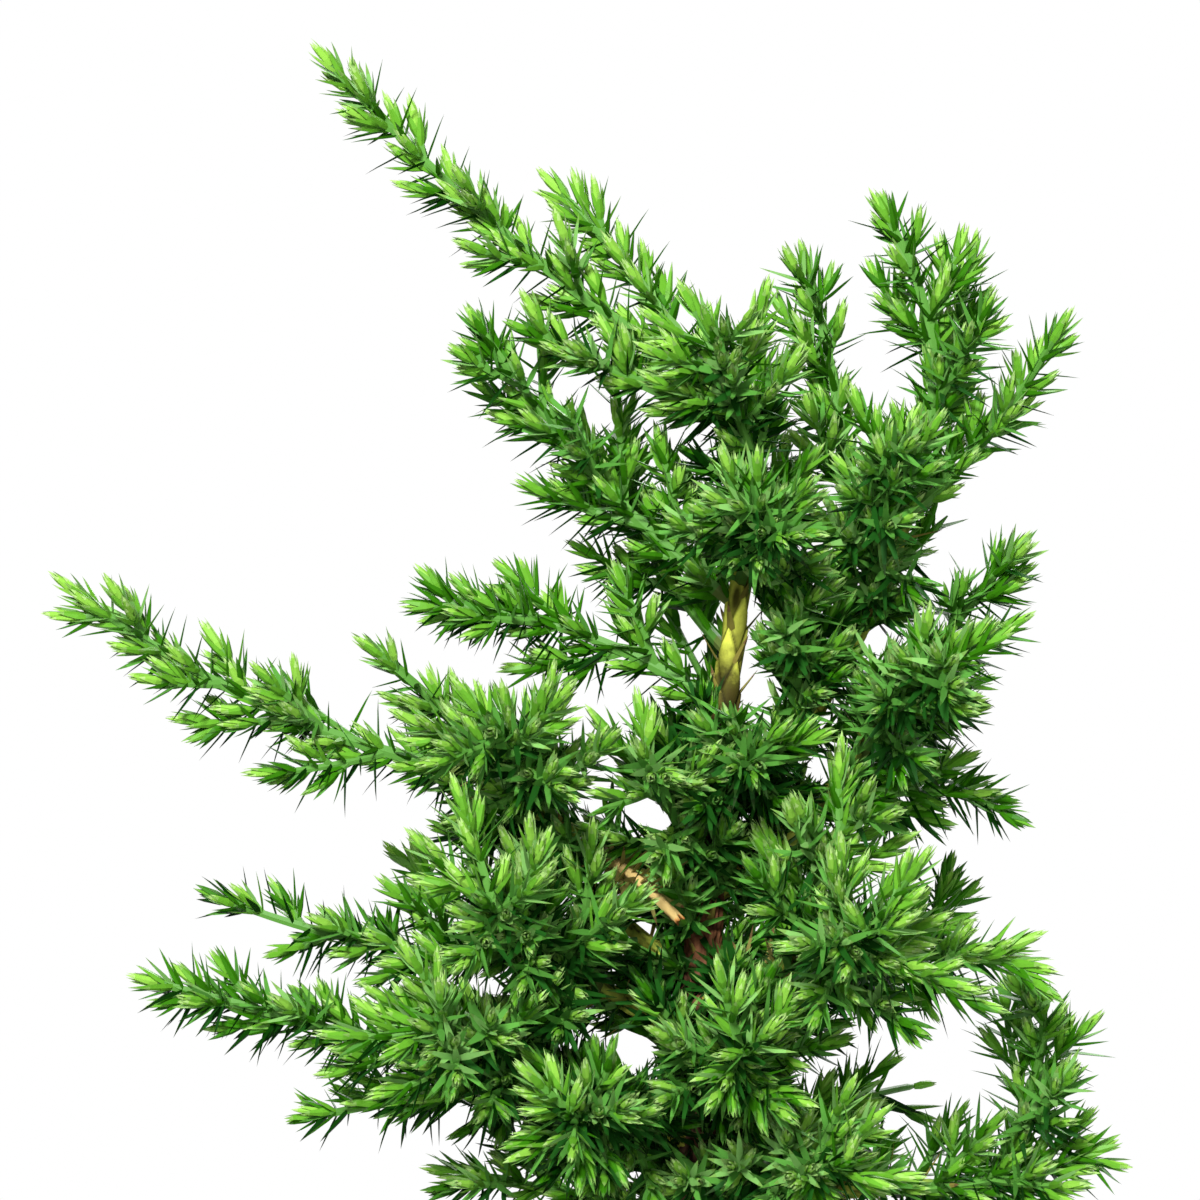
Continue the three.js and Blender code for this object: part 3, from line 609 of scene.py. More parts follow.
def grow_crown():
    """Every shoot of the crown: stems and sides as in the solids, shoots on limbs, and spurs along all."""
    masses = [dict(mass, on=limb) for limb, rows in MASSES.items() for mass in rows]
    draw = np.random.default_rng(len(masses))
    shoots = []
    for seed, mass in enumerate(masses, 1):
        zone = ZONE_OF[mass["on"]]
        vigour = 1 if mass["name"] in QUICK_MASSES else SLOW_VIGOUR
        stem, sides = growth(mass, seed)
        shoots.append(Shoot(stem.shortened(BUD_PROUD), STEM, zone, vigour))
        shoots += [Shoot(side.shortened(BUD_PROUD), SIDE, zone, vigour) for side in sides]
        if mass.get("habit") is ROUND:
            shoots += [Shoot(side, SIDE, zone, vigour) for side in shoots_on(stem, ROUND_SHOOTS, draw)]
    for name, line in limbs.items():
        habit = TRUNK_SHOOTS if name == "trunk" else BOUGH_SHOOTS
        # The limbs' shoots inside the crown are darker by their low vigour, as painted shade
        shoots += [Shoot(side, SIDE, ZONE_OF[name], LIMB_VIGOUR_AND_SHADE) for side in shoots_on(line, habit, draw)]
    shoots = clear_of_gaps(shoots)
    spurs = [
        Shoot(spur, SPUR, parent.zone, parent.vigour)
        for parent in shoots for spur in shoots_on(parent.line, SPURS, draw)]
    return shoots + clear_of_gaps(spurs)


def clear_of_gaps(shoots):
    """The shoots that cross no gap of sky, and every stem."""
    return [
        shoot for shoot in shoots
        if shoot.order is STEM or not in_sky_gap(shoot.line.points(GAP_TESTS)).any()]


def in_sky_gap(points):
    """Which points stand on a way from the eye through one of the gaps."""
    ahead = points - EYE
    on_plane = EYE + ahead * (-EYE[1] / ahead[..., 1:2])
    found = np.zeros(points.shape[:-1], bool)
    for right, up, radius in sum(SKY_GAPS.values(), []):
        found |= np.hypot(on_plane[..., 0] - right, on_plane[..., 2] - up) < radius
    return found


def old_growth():
    """The limbs, as shoots that keep some of their oldest needles."""
    trunk = dict(OLD_TRUNK, radii=(TRUNK_BASE_RADIUS, TRUNK_TOP_RADIUS))
    old = [Shoot(limbs["trunk"], trunk, ZONE_OF["trunk"], older=OLD_BY)]
    for bough in BOUGHS:
        habit = dict(OLD_BOUGH, radii=bough["radii"])
        old.append(Shoot(limbs[bough["name"]], habit, ZONE_OF[bough["name"]], older=OLD_BY))
    stub_foot = stub_line().shortened(STUB_BARE)
    old.append(Shoot(stub_foot, dict(OLD_STUB, radii=STUB["radii"]), ZONE_OF[STUB["on"]], older=OLD_BY))
    return old


def whorls(length, internode):
    """Distances of whorls from a shoot's tip: crowded in the bud, then further apart."""
    found = []
    distance = FIRST_WHORL
    while distance < length:
        found.append(distance)
        distance += mix(BUD_SPACING, internode, min(distance / OPEN_AFTER, 1))
    return np.array(found)


def needles_on(shoot, index, draw):
    """The needles of one shoot: where each stands, where it points and which way its inner face looks."""
    line = shoot.line
    internode = shoot.order["internode"]
    needled = line.length - shoot.order["bare"]
    if shoot.older:
        distance = np.arange(shoot.order["first"] * internode, needled, internode)
    else:
        distance = whorls(needled, internode)
    any_turn = 360 * draw.random()
    turn = np.arange(len(distance)) * 180 / NEEDLES_ROUND + shoot.order.get("turn", any_turn)
    distance = np.repeat(distance, NEEDLES_ROUND)
    count = len(distance)
    turn = np.repeat(turn, NEEDLES_ROUND) + np.arange(count) % NEEDLES_ROUND * 360 / NEEDLES_ROUND
    turn += NEEDLE_TURN_WANDER * draw.uniform(-1, 1, count)
    age = distance + shoot.older
    opened = age / shoot.vigour**OPENING
    if "opened" in shoot.order:
        opened = np.full(count, shoot.order["opened"])
    spread = np.interp(opened, AGES, SPREADS)
    spread += NEEDLE_SPREAD_WANDER * draw.uniform(-1, 1, count) * np.interp(opened, AGES, SPREAD_WANDERS)
    spread = np.radians(spread)[:, None]
    share = 1 - distance / line.length
    tangent = line.tangents(share)
    away = outward(tangent, turn)
    radius = mix(*shoot.order["radii"], share)[:, None]
    return dict(
        place=line.points(share) + away * radius * NEEDLE_FOOT,
        along=tangent * np.cos(spread) + away * np.sin(spread),
        face=tangent * np.sin(spread) - away * np.cos(spread),
        length=np.interp(opened, AGES, LENGTHS) * (1 + NEEDLE_LENGTH_WANDER * draw.uniform(-1, 1, count)),
        width=np.interp(opened, AGES, WIDTHS),
        curl=np.interp(opened, AGES, CURLS),
        age=age,
        shoot=np.full(count, index),
    )


def daylight(places, spots):
    """The light at spots, from 1 in the open to 0 inside: it fades with the needles on the way out."""
    low = places.min(0) - CELL
    cells = ((places - low) / CELL).astype(int)
    crowd = np.zeros(cells.max(0) + 2)
    np.add.at(crowd, tuple(cells.T), 1)
    for axis in range(3):
        crowd = np.apply_along_axis(np.convolve, axis, crowd, np.ones(TUBE_CELLS) / TUBE_CELLS**0.5, "same")
    ways = [np.cumsum(crowd, axis) for axis in (0, 1)]
    ways += [np.flip(np.cumsum(np.flip(crowd, axis), axis), axis) for axis in range(3)]
    shade = np.min(ways, 0) - crowd
    at = np.clip(((spots - low) / CELL).astype(int), 0, np.array(crowd.shape) - 1)
    return np.exp(-shade[tuple(at.T)] / NEEDLES_TO_FADE)


def needle_kinds(needles, shoots, draw):
    """Which colour each needle has: by its age, and one colour darker for each step of painted shade, by the
    light that its spray gets and where the needle points down.
    """
    count = len(shoots)
    owner = needles["shoot"]
    spots = np.array([shoot.line.points(LIGHT_AT) for shoot in shoots])
    light = daylight(needles["place"], spots) + LIGHT_WANDER * draw.uniform(-1, 1, count)
    # Painted shade: a spray with less light takes colours one or two steps darker
    darker = np.where(light > LIT, 0, np.where(light > SHADED, 1, 2))
    vigour = np.array([shoot.vigour for shoot in shoots])
    reach = vigour * (1 + REACH_WANDER * draw.uniform(-1, 1, count))
    age = np.digitize(needles["age"] / reach[owner], (BUD_REACH, YOUNG_REACH))
    # Painted shade under the sprays: needles that point down take a colour one step darker
    painted_underside_shade = needles["along"][:, 2] < UNDERSIDE
    kinds = np.minimum(age + darker[owner] + painted_underside_shade, KINDS.index("deep"))
    is_stem = np.array([shoot.order is STEM for shoot in shoots])
    dead = (light < DEAD_LIGHT) & (draw.random(count) < DEAD_SHARE) & ~is_stem
    dry_share = np.array([shoot.order.get("dry", 0) for shoot in shoots])
    dry = draw.random(len(owner)) < dry_share[owner]
    kinds[dead[owner] | dry] = KINDS.index("straw")
    return kinds


def blades(needles):
    """Keeled needles as one mesh: points, triangles and each triangle's colour (back, face or point)."""
    count = len(needles["place"])
    along, face = needles["along"], needles["face"]
    across = np.cross(along, face)
    length = needles["length"][:, None]
    half = needles["width"][:, None] / 2
    rows = []
    for share, wide in zip(SECTIONS, HALF_WIDTHS):
        middle = needles["place"] + along * length * share
        middle = middle + face * needles["curl"][:, None] * length * share**2
        rows.append(middle - across * half * wide)
        rows.append(middle + across * half * wide)
        rows.append(middle - face * half * wide * KEEL)
    rows.append(needles["place"] + along * length + face * needles["curl"][:, None] * length)
    points = np.stack(rows, 1).reshape(-1, 3)
    pattern, colours = blade_pattern()
    starts = np.arange(count)[:, None, None] * len(rows)
    return points, (pattern[None] + starts).reshape(-1, 3), np.tile(colours, count)


def blade_pattern():
    """One needle's triangles, and the colour of each: 0 the back, 1 the inner face, 2 the point."""
    triangles = [(0, 2, 1)]
    colours = [0]
    for section in range(len(SECTIONS)):
        low = CORNERS * section
        for corner in range(CORNERS):
            following = (corner + 1) % CORNERS
            if section + 1 < len(SECTIONS):
                triangles.append((low + corner, low + following, low + CORNERS + following))
                triangles.append((low + corner, low + CORNERS + following, low + CORNERS + corner))
                colours += [1 if corner == 0 else 0] * 2
            else:
                triangles.append((low + corner, low + following, low + CORNERS))
                colours.append(2)
    return np.array(triangles), np.array(colours)


def frames_along(tangents):
    """Two directions across each tangent that never twist."""
    across = [outward(tangents[0], 0)]
    for tangent in tangents[1:]:
        carried = across[-1] - tangent * (across[-1] @ tangent)
        across.append(unit(carried))
    across = np.array(across)
    return across, np.cross(tangents, across)


def skin(rings):
    """A closed skin over rings that have the same number of corners, with a fan over each end."""
    count, sides = rings.shape[:2]
    points = np.concatenate([rings.reshape(-1, 3), rings[:1].mean(1), rings[-1:].mean(1)])
    corner = np.arange(sides)
    following = (corner + 1) % sides
    triangles = []
    for low in np.arange(count - 1) * sides:
        triangles.append(np.stack([low + corner, low + following, low + sides + following], 1))
        triangles.append(np.stack([low + corner, low + sides + following, low + sides + corner], 1))
    last = (count - 1) * sides
    foot, top = np.full(sides, len(points) - 2), np.full(sides, len(points) - 1)
    triangles.append(np.stack([foot, following, corner], 1))
    triangles.append(np.stack([top, last + corner, last + following], 1))
    return points, np.concatenate(triangles)


def twig(shoot):
    """A ridged twig with a pointed end: points, triangles and each triangle's colour (green or straw)."""
    line = shoot.line
    steps = max(TWIG_LEAST_STEPS, int(line.length / TWIG_STEP))
    shares = np.linspace(0, 1, steps + 1)
    across, other = frames_along(line.tangents(shares))
    angles = round_angles(TWIG_SIDES)
    ridge = 1 + TWIG_RIDGE * (-1) ** np.arange(TWIG_SIDES)
    sideways = (np.cos(angles) * ridge)[:, None]
    upwards = (np.sin(angles) * ridge)[:, None]
    radius = mix(*shoot.order["radii"], shares)
    radius[-1] *= TWIG_POINT
    spoke = across[:, None] * sideways + other[:, None] * upwards
    rings = line.points(shares)[:, None] + spoke * radius[:, None, None]
    points, triangles = skin(rings)
    is_straw = (triangles.max(1) < STRAW_SHARE * steps * TWIG_SIDES) & (shoot.order is STEM)
    return points, triangles, is_straw.astype(int)


def joined(meshes):
    """Several (points, triangles, colours) as one."""
    starts = np.cumsum([0] + [len(points) for points, _, _ in meshes[:-1]])
    points = np.concatenate([m[0] for m in meshes])
    triangles = np.concatenate([m[1] + start for m, start in zip(meshes, starts)])
    return points, triangles, np.concatenate([m[2] for m in meshes])


def add_object(name, data):
    made = bpy.data.objects.new(name, data)
    bpy.context.scene.collection.objects.link(made)
    return made


def piece(name, points, triangles, materials, colours=None, smooth=False):
    """A mesh object of points in millimetres, which moves with the part."""
    mesh = bpy.data.meshes.new(name)
    mesh.vertices.add(len(points))
    mesh.vertices.foreach_set("co", (points * MM).astype(np.float32).ravel())
    mesh.loops.add(triangles.size)
    mesh.loops.foreach_set("vertex_index", triangles.astype(np.int32).ravel())
    mesh.polygons.add(len(triangles))
    mesh.polygons.foreach_set("loop_start", np.arange(0, triangles.size, 3, dtype=np.int32))
    for material in materials:
        mesh.materials.append(material)
    if colours is not None:
        mesh.polygons.foreach_set("material_index", colours.astype(np.int32))
    mesh.polygons.foreach_set("use_smooth", np.full(len(triangles), smooth))
    mesh.update(calc_edges=True)
    made = add_object(name, mesh)
    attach(made, "root")
    return made


def grow_needles(shoots, draw):
    """Every needle that crosses no gap of sky, and all those of the trunk, as columns of their measures."""
    rows = [needles_on(shoot, i, draw) for i, shoot in enumerate(shoots)]
    needles = {key: np.concatenate([row[key] for row in rows]) for key in rows[0]}
    ahead = needles["along"] * needles["length"][:, None]
    in_the_way = [in_sky_gap(needles["place"] + ahead * share) for share in GAP_TESTS]
    on_trunk = np.array([shoot.line is limbs["trunk"] for shoot in shoots])
    kept = ~np.any(in_the_way, 0) | on_trunk[needles["shoot"]]
    return {key: column[kept] for key, column in needles.items()}


def needle_finishes(kind):
    """The materials of one kind of needle: of its back, its face and its point."""
    shine = FRESH_SHINE if kind in FRESH_KINDS else OLD_SHINE
    return [
        plain_material(f"needle_{kind}_{part}", colour, roughness, shine)
        for (part, roughness), colour in zip(NEEDLE_ROUGHNESS.items(), NEEDLE_COLOURS[kind])]


def dress_crown():
    """Needles by zone and colour, and twigs by zone, which stand for the masses of the zone."""
    shoots = grow_crown()
    twigs_of = {zone: joined([twig(shoot) for shoot in shoots if shoot.zone == zone]) for zone in ZONES}
    shoots += old_growth()
    draw = np.random.default_rng(0)
    needles = grow_needles(shoots, draw)
    kinds = needle_kinds(needles, shoots, draw)
    zones = np.array([shoot.zone for shoot in shoots])[needles["shoot"]]
    finishes = {kind: needle_finishes(kind) for kind in KINDS}
    twig_finishes = [plain_material(*finish) for finish in TWIG_FINISHES]
    for zone, carriers in ZONES.items():
        points, triangles, colours = twigs_of[zone]
        twigs = piece(f"twigs_{zone}", points + PLANT, triangles, twig_finishes, colours)
        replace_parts(twigs, *[mass["name"] for limb in carriers for mass in MASSES[limb]])
        for number, kind in enumerate(KINDS):
            chosen = (zones == zone) & (kinds == number)
            if chosen.any():
                points, triangles, colours = blades({key: column[chosen] for key, column in needles.items()})
                name = f"needles_{kind}_{zone}"
                piece(name, points + PLANT, triangles, finishes[kind], colours)


def grow_limbs():
    for bough in BOUGHS:
        limbs[bough["name"]] = bowed(root_of(bough), bough["tip"], bough["bow"])


def trunk_radius(t, angle):
    """The trunk's radius at a share of its height and an angle round it."""
    taper = mix(TRUNK_TOP_RADIUS, TRUNK_BASE_RADIUS, (1 - t) ** TAPER_POWER)
    flare = FLARE * np.exp(-t * TRUNK_HEIGHT / FLARE_FADE)
    return taper + flare * (1 + ROOT_PROUD * np.cos(FLARE_ROOTS * (angle - math.radians(ROOT_TURN))))


def leaf_bases(along, angles):
    """Relief of young bark: long pointed leaf bases in threes, with narrow grooves between them."""
    rows = along[:, None] / LEAF_BASE_PITCH
    round_it = angles * NEEDLES_ROUND / (2 * math.pi)
    best = np.zeros((len(along), len(angles)))
    for row in (np.floor(rows), np.floor(rows) + 1):
        across = np.abs((round_it + row / 2 + 0.5) % 1 - 0.5)
        inside = 1 - 2 * across - np.abs(rows - row)
        lifted = 1 - LEAF_BASE_LIFT + LEAF_BASE_LIFT * (rows - row)
        best = np.maximum(best, np.clip(inside / LEAF_BASE_GROOVE, 0, 1) * lifted)
    return best


def fibres(points):
    """Relief of old bark: long flaking strips."""
    squeezed = points * FIBRE_SCALE
    ridges = [1 - abs(noise.fractal(Vector(p), *FIBRE_NOISE)) * FIBRE_DEPTH for p in squeezed.reshape(-1, 3)]
    return np.clip(np.array(ridges).reshape(points.shape[:2]), 0, 1)


def scar(along, angles):
    """How far a spot of the trunk is from the scar's edge: 0 in its middle, 1 outside it."""
    up = (along[:, None] - SCAR["at"]) / SCAR["long"]
    aside = np.radians(SCAR["turn"]) - angles
    sideways = TRUNK_TOP_RADIUS * np.sin(aside / 2) * 2 / SCAR["wide"]
    return np.clip((np.hypot(up, sideways) - SCAR["deep"]) / (1 - SCAR["deep"]), 0, 1)


def bark_shares(line):
    """Where a limb's rings of bark stand, as shares of its length."""
    return np.linspace(0, 1, int(line.length / BARK_STEP) + 1)


def barked(line, radius_at, across, age_at, sides, worn=None, peeled=0):
    """A limb with bark: its mesh, and the bark's age and relief at each of its points."""
    shares = bark_shares(line)
    along = shares * line.length
    angles = round_angles(sides)
    other = BACK if across is RIGHT else np.cross(line.tangents(shares), across)
    spoke = np.cos(angles)[:, None] * across[..., None, :] + np.sin(angles)[:, None] * other[..., None, :]
    radius = radius_at(shares[:, None], angles)
    centres = line.points(shares)[:, None]
    age = np.broadcast_to(age_at(shares)[:, None], radius.shape)
    flaking = np.clip((age - YOUNG_BARK) / FLAKES_WITHIN + peeled, 0, 1)
    relief = mix(leaf_bases(along, angles), fibres(centres + spoke * radius[..., None]), flaking)
    # A scar lowers the relief, which sinks the bark and also darkens it by the painted groove shade
    if worn:
        relief = relief * worn(along, angles)
    height = mix(LEAF_BASE_PROUD, FIBRE_PROUD, age) * (radius / TRUNK_TOP_RADIUS) ** 0.5
    rings = centres + spoke * (radius + height * (relief - RELIEF_LEVEL))[..., None]
    points, triangles = skin(rings)
    return points, triangles, np.append(age, age.ravel()[[0, -1]]), np.append(relief, [END_RELIEF] * 2)


def bark_piece(name, limbs_made, materials, torn=0):
    """Barked limbs as one object, with the age and relief of the bark stored on its points.

    The last torn triangles, if any, take the second material.
    """
    points, triangles, colours = joined([(m[0], m[1], np.zeros(len(m[1]))) for m in limbs_made])
    colours[len(colours) - torn:] = 1
    made = piece(name, points + PLANT, triangles, materials, colours, smooth=True)
    for field, column in (("bark_age", 2), ("relief", 3)):
        values = np.concatenate([m[column] for m in limbs_made]).astype(np.float32)
        made.data.attributes.new(field, "FLOAT", "POINT").data.foreach_set("value", values)
    return made


def trunk_age(share):
    """The age of the trunk's bark at a share of its height, which also places its painted light and painted
    shadow.
    """
    return np.interp(share, *TRUNK_AGES)


def dress_limbs():
    """Trunk and boughs with their bark, and the cut stub."""
    bark = bark_material()
    trunk = barked(limbs["trunk"], trunk_radius, RIGHT, trunk_age, TRUNK_SIDES, scar)
    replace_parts(bark_piece("trunk_bark", [trunk], [bark]), "trunk")
    made = [
        barked_bough(limbs[bough["name"]], bough["radii"], bough.get("age", BOUGH_AGE)) for bough in BOUGHS]
    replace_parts(bark_piece("bough_bark", made, [bark]), *[bough["name"] for bough in BOUGHS])
    add_stub()


def barked_bough(line, radii, age, tip_age=0, peeled=0):
    """A bough with a collar at its root, and bark that is younger towards its tip."""
    across, _ = frames_along(line.tangents(bark_shares(line)))

    def radius_at(share, angles):
        collar = 1 + COLLAR_SWELL * np.exp(-share * line.length / COLLAR_FADE)
        return mix(*radii, share) * collar * np.ones(len(angles))

    def age_at(share):
        return mix(age, tip_age, share**AGE_POWER)

    return barked(line, radius_at, across, age_at, BOUGH_SIDES, peeled=peeled)


def stub_line():
    return bowed(root_of(STUB), STUB["tip"], STUB["bow"])


def add_stub():
    """A side branch that was cut off, with a torn end."""
    line = stub_line()
    points, triangles, age, relief = barked_bough(line, STUB["radii"], STUB["age"], STUB["age"], peeled=1)
    draw = np.random.default_rng(BOUGH_SIDES)
    ragged = np.arange(len(points) - 2 - BOUGH_SIDES, len(points) - 2)
    points[ragged] += line.tangents(1) * draw.uniform(-1, 1, (BOUGH_SIDES, 1)) * STUB_RAGGED
    finishes = [plain_material(*finish) for finish in STUB_FINISHES]
    # The last triangles are half of the last band, the fan at the hidden foot and the fan over the torn end
    bark_piece("cut_stub", [(points, triangles, age, relief)], finishes, torn=3 * BOUGH_SIDES)


def set_values(node, **values):
    """Plain values for a node's inputs, whose names have low lines here in place of spaces."""
    for key, value in values.items():
        node.inputs[key.replace("_", " ")].default_value = value


def new_material(name):
    """An empty material, its node tree and its shader."""
    made = bpy.data.materials.new(name)
    made.use_nodes = True
    return made, made.node_tree, made.node_tree.nodes["Principled BSDF"]


def plain_material(name, colour, roughness, shine=FRESH_SHINE):
    """A material of one base colour, for needles, twigs, bare wood and grit, which differ piece by piece."""
    made, _, shader = new_material(name)
    set_values(shader, Base_Color=(*colour, 1), Roughness=roughness, Specular_IOR_Level=shine)
    return made


def add_node(tree, kind, settings=None, **values):
    """A shader node with settings and plain input values."""
    node = tree.nodes.new(kind)
    for key, value in (settings or {}).items():
        setattr(node, key, value)
    set_values(node, **values)
    return node


def wire(tree, *links):
    """Links, each as a node, its output, the next node and its input."""
    for source, output, target, socket in links:
        tree.links.new(source.outputs[output], target.inputs[socket])


def new_group(name, output, kind, **inputs):
    """An empty shader node group that takes plain numbers and puts out one value or normal."""
    group = bpy.data.node_groups.new(name, "ShaderNodeTree")
    for socket, value in inputs.items():
        made = group.interface.new_socket(socket, in_out="INPUT", socket_type="NodeSocketFloat")
        made.default_value = value
    group.interface.new_socket(output, in_out="OUTPUT", socket_type=kind)
    return group, group.nodes.new("NodeGroupInput"), group.nodes.new("NodeGroupOutput")


def mottle_group():
    """Soft uneven patches in place: a value from 0 to 1."""
    group, given, result = new_group("mottle", "Value", "NodeSocketFloat", Scale=100.0, Contrast=1.0)
    place = add_node(group, "ShaderNodeTexCoord")
    patches = add_node(group, "ShaderNodeTexNoise", Detail=5.0, Roughness=0.6)
    middle = add_node(group, "ShaderNodeMath", {"operation": "SUBTRACT"})
    stretched = add_node(group, "ShaderNodeMath", {"operation": "MULTIPLY_ADD", "use_clamp": True})
    middle.inputs[1].default_value = 0.5
    stretched.inputs[2].default_value = 0.5
    wire(
        group,
        (place, "Object", patches, "Vector"),
        (given, "Scale", patches, "Scale"),
        (patches, "Fac", middle, 0),
        (middle, "Value", stretched, 0),
        (given, "Contrast", stretched, 1),
        (stretched, "Value", result, "Value"),
    )
    return group


def grain_group():
    """Fine tooth on a surface: a normal."""
    group, given, result = new_group(
        "grain", "Normal", "NodeSocketVector", Scale=1000.0, Strength=0.3, Depth=0.0003)
    place = add_node(group, "ShaderNodeTexCoord")
    tooth = add_node(group, "ShaderNodeTexNoise", Detail=3.0, Roughness=0.65)
    bump = add_node(group, "ShaderNodeBump")
    wire(
        group,
        (place, "Object", tooth, "Vector"),
        (given, "Scale", tooth, "Scale"),
        (tooth, "Fac", bump, "Height"),
        (given, "Strength", bump, "Strength"),
        (given, "Depth", bump, "Distance"),
        (bump, "Normal", result, "Normal"),
    )
    return group


def use_group(tree, group, **values):
    return add_node(tree, "ShaderNodeGroup", {"node_tree": group}, **values)


def multiplied(tree):
    """A node that multiplies one colour by another."""
    return add_node(tree, "ShaderNodeMix", {"data_type": "RGBA", "blend_type": "MULTIPLY"}, Factor=1.0)


def ramp_node(tree, stops):
    """A colour ramp through (place, colour) stops."""
    node = tree.nodes.new("ShaderNodeValToRGB")
    elements = node.color_ramp.elements
    while len(elements) < len(stops):
        elements.new(0.5)
    for element, (place, colour) in zip(elements, stops):
        element.position = place
        element.color = (*colour, 1)
    return node


def bark_material():
    """Bark from straw green on young limbs to red and grey brown on old ones, partly painted light and
    shadow, with painted shade between its strips.
    """
    made, tree, shader = new_material("bark")
    age = add_node(tree, "ShaderNodeAttribute", {"attribute_name": "bark_age"})
    relief = add_node(tree, "ShaderNodeAttribute", {"attribute_name": "relief"})
    patches = use_group(tree, MOTTLE, Scale=420.0, Contrast=1.6)
    either_way = add_node(tree, "ShaderNodeMapRange", To_Min=-BARK_PATCHES, To_Max=BARK_PATCHES)
    shifted = add_node(tree, "ShaderNodeMath", {"operation": "ADD"})
    colour = ramp_node(tree, BARK_COLOURS_WITH_PAINTED_LIGHT_AND_SHADOW)
    # Painted shade in the bark's grooves, from its relief
    groove_shade = ramp_node(tree, PAINTED_GROOVE_SHADE)
    shaded = multiplied(tree)
    grain = use_group(tree, GRAIN, Scale=2600.0, Strength=0.35, Depth=0.0002)
    wire(
        tree,
        (patches, "Value", either_way, "Value"),
        (either_way, "Result", shifted, 0),
        (age, "Fac", shifted, 1),
        (shifted, "Value", colour, "Fac"),
        (relief, "Fac", groove_shade, "Fac"),
        (colour, "Color", shaded, "A"),
        (groove_shade, "Color", shaded, "B"),
        (shaded, "Result", shader, "Base Color"),
        (grain, "Normal", shader, "Normal"),
    )
    set_values(shader, Roughness=0.75, Specular_IOR_Level=0.12)
    return made


def clay_material():
    """Unglazed brown stoneware: mottled, speckled with darker grit, worn paler on the rim."""
    made, tree, shader = new_material("stoneware")
    patches = use_group(tree, MOTTLE, Scale=38.0, Contrast=2.0)
    specks = use_group(tree, MOTTLE, Scale=900.0, Contrast=5.0)
    body = ramp_node(tree, CLAY_COLOURS)
    dark = ramp_node(tree, CLAY_SPECKS)
    flecked = multiplied(tree)
    place = add_node(tree, "ShaderNodeTexCoord")
    height = add_node(tree, "ShaderNodeSeparateXYZ")
    rim_foot = (POT_HEIGHT - RIM_HEIGHT) * MM
    wear = add_node(
        tree, "ShaderNodeMapRange", From_Min=rim_foot, From_Max=POT_HEIGHT * MM, To_Max=RIM_WEAR)
    worn = add_node(tree, "ShaderNodeMix", {"data_type": "RGBA"}, B=(*WORN_CLAY, 1))
    grain = use_group(tree, GRAIN, Scale=1500.0, Strength=0.4, Depth=0.0002)
    wire(
        tree,
        (patches, "Value", body, "Fac"),
        (specks, "Value", dark, "Fac"),
        (body, "Color", flecked, "A"),
        (dark, "Color", flecked, "B"),
        (place, "Object", height, "Vector"),
        (height, "Z", wear, "Value"),
        (wear, "Result", worn, "Factor"),
        (flecked, "Result", worn, "A"),
        (worn, "Result", shader, "Base Color"),
        (grain, "Normal", shader, "Normal"),
    )
    set_values(shader, Roughness=0.62, Specular_IOR_Level=0.35)
    return made


def soil_material():
    """Dark moist soil between the grit."""
    made, tree, shader = new_material("soil")
    patches = use_group(tree, MOTTLE, Scale=300.0, Contrast=2.0)
    colour = ramp_node(tree, SOIL_COLOURS)
    grain = use_group(tree, GRAIN, Scale=900.0, Strength=0.8, Depth=0.0006)
    wire(
        tree,
        (patches, "Value", colour, "Fac"),
        (colour, "Color", shader, "Base Color"),
        (grain, "Normal", shader, "Normal"),
    )
    set_values(shader, Roughness=0.9)
    return made


def rounded_ring(length, width, corner, z):
    """A level rounded rectangle, as corners that run counter-clockwise."""
    turns = np.linspace(0, math.pi / 2, CORNER_STEPS + 1)
    ring = []
    for quarter, (sx, sy) in enumerate([(1, 1), (-1, 1), (-1, -1), (1, -1)]):
        angles = turns + quarter * math.pi / 2
        x = sx * (length / 2 - corner) + corner * np.cos(angles)
        y = sy * (width / 2 - corner) + corner * np.sin(angles)
        ring.append(np.stack([x, y, np.full(len(angles), z)], 1))
    return np.concatenate(ring)


def pot_ring(z, inset):
    """The pot's wall at a height, drawn in from the wall's outer face."""
    drawn_in = 2 * (inset + RIM_PROUD + POT_LEAN * (1 - z / POT_HEIGHT))
    return rounded_ring(POT_LENGTH - drawn_in, POT_WIDTH - drawn_in, POT_CORNER - inset, z)


def edge_turn(start, end, height_first):
    """Points of a rounded edge between two (height, inset) points."""
    turns = np.linspace(0, math.pi / 2, EDGE_STEPS)
    fast, slow = np.sin(turns), 1 - np.cos(turns)
    z = mix(start[0], end[0], fast if height_first else slow)
    inset = mix(start[1], end[1], slow if height_first else fast)
    return list(zip(z, inset))


def pot_profile():
    """The pot's outline from its underside, over the rim and down to the floor inside."""
    rim_foot = POT_HEIGHT - RIM_HEIGHT
    lip = -RIM_PROUD + EDGE_ROUND
    return [
        *edge_turn((FOOT_HEIGHT, EDGE_ROUND), (FOOT_HEIGHT + EDGE_ROUND, 0), False),
        *[(z, 0) for z in np.linspace(FOOT_HEIGHT + 3 * EDGE_ROUND, rim_foot - 2 * EDGE_ROUND, WALL_STEPS)],
        *edge_turn((rim_foot - EDGE_ROUND, 0), (rim_foot, lip), True),
        *edge_turn((rim_foot, lip), (rim_foot + EDGE_ROUND, -RIM_PROUD), False)[1:],
        *edge_turn((POT_HEIGHT - EDGE_ROUND, -RIM_PROUD), (POT_HEIGHT, lip), True),
        *edge_turn((POT_HEIGHT, WALL - EDGE_ROUND), (POT_HEIGHT - EDGE_ROUND, WALL), False),
        (FOOT_HEIGHT + FLOOR_THICKNESS, WALL),
    ]


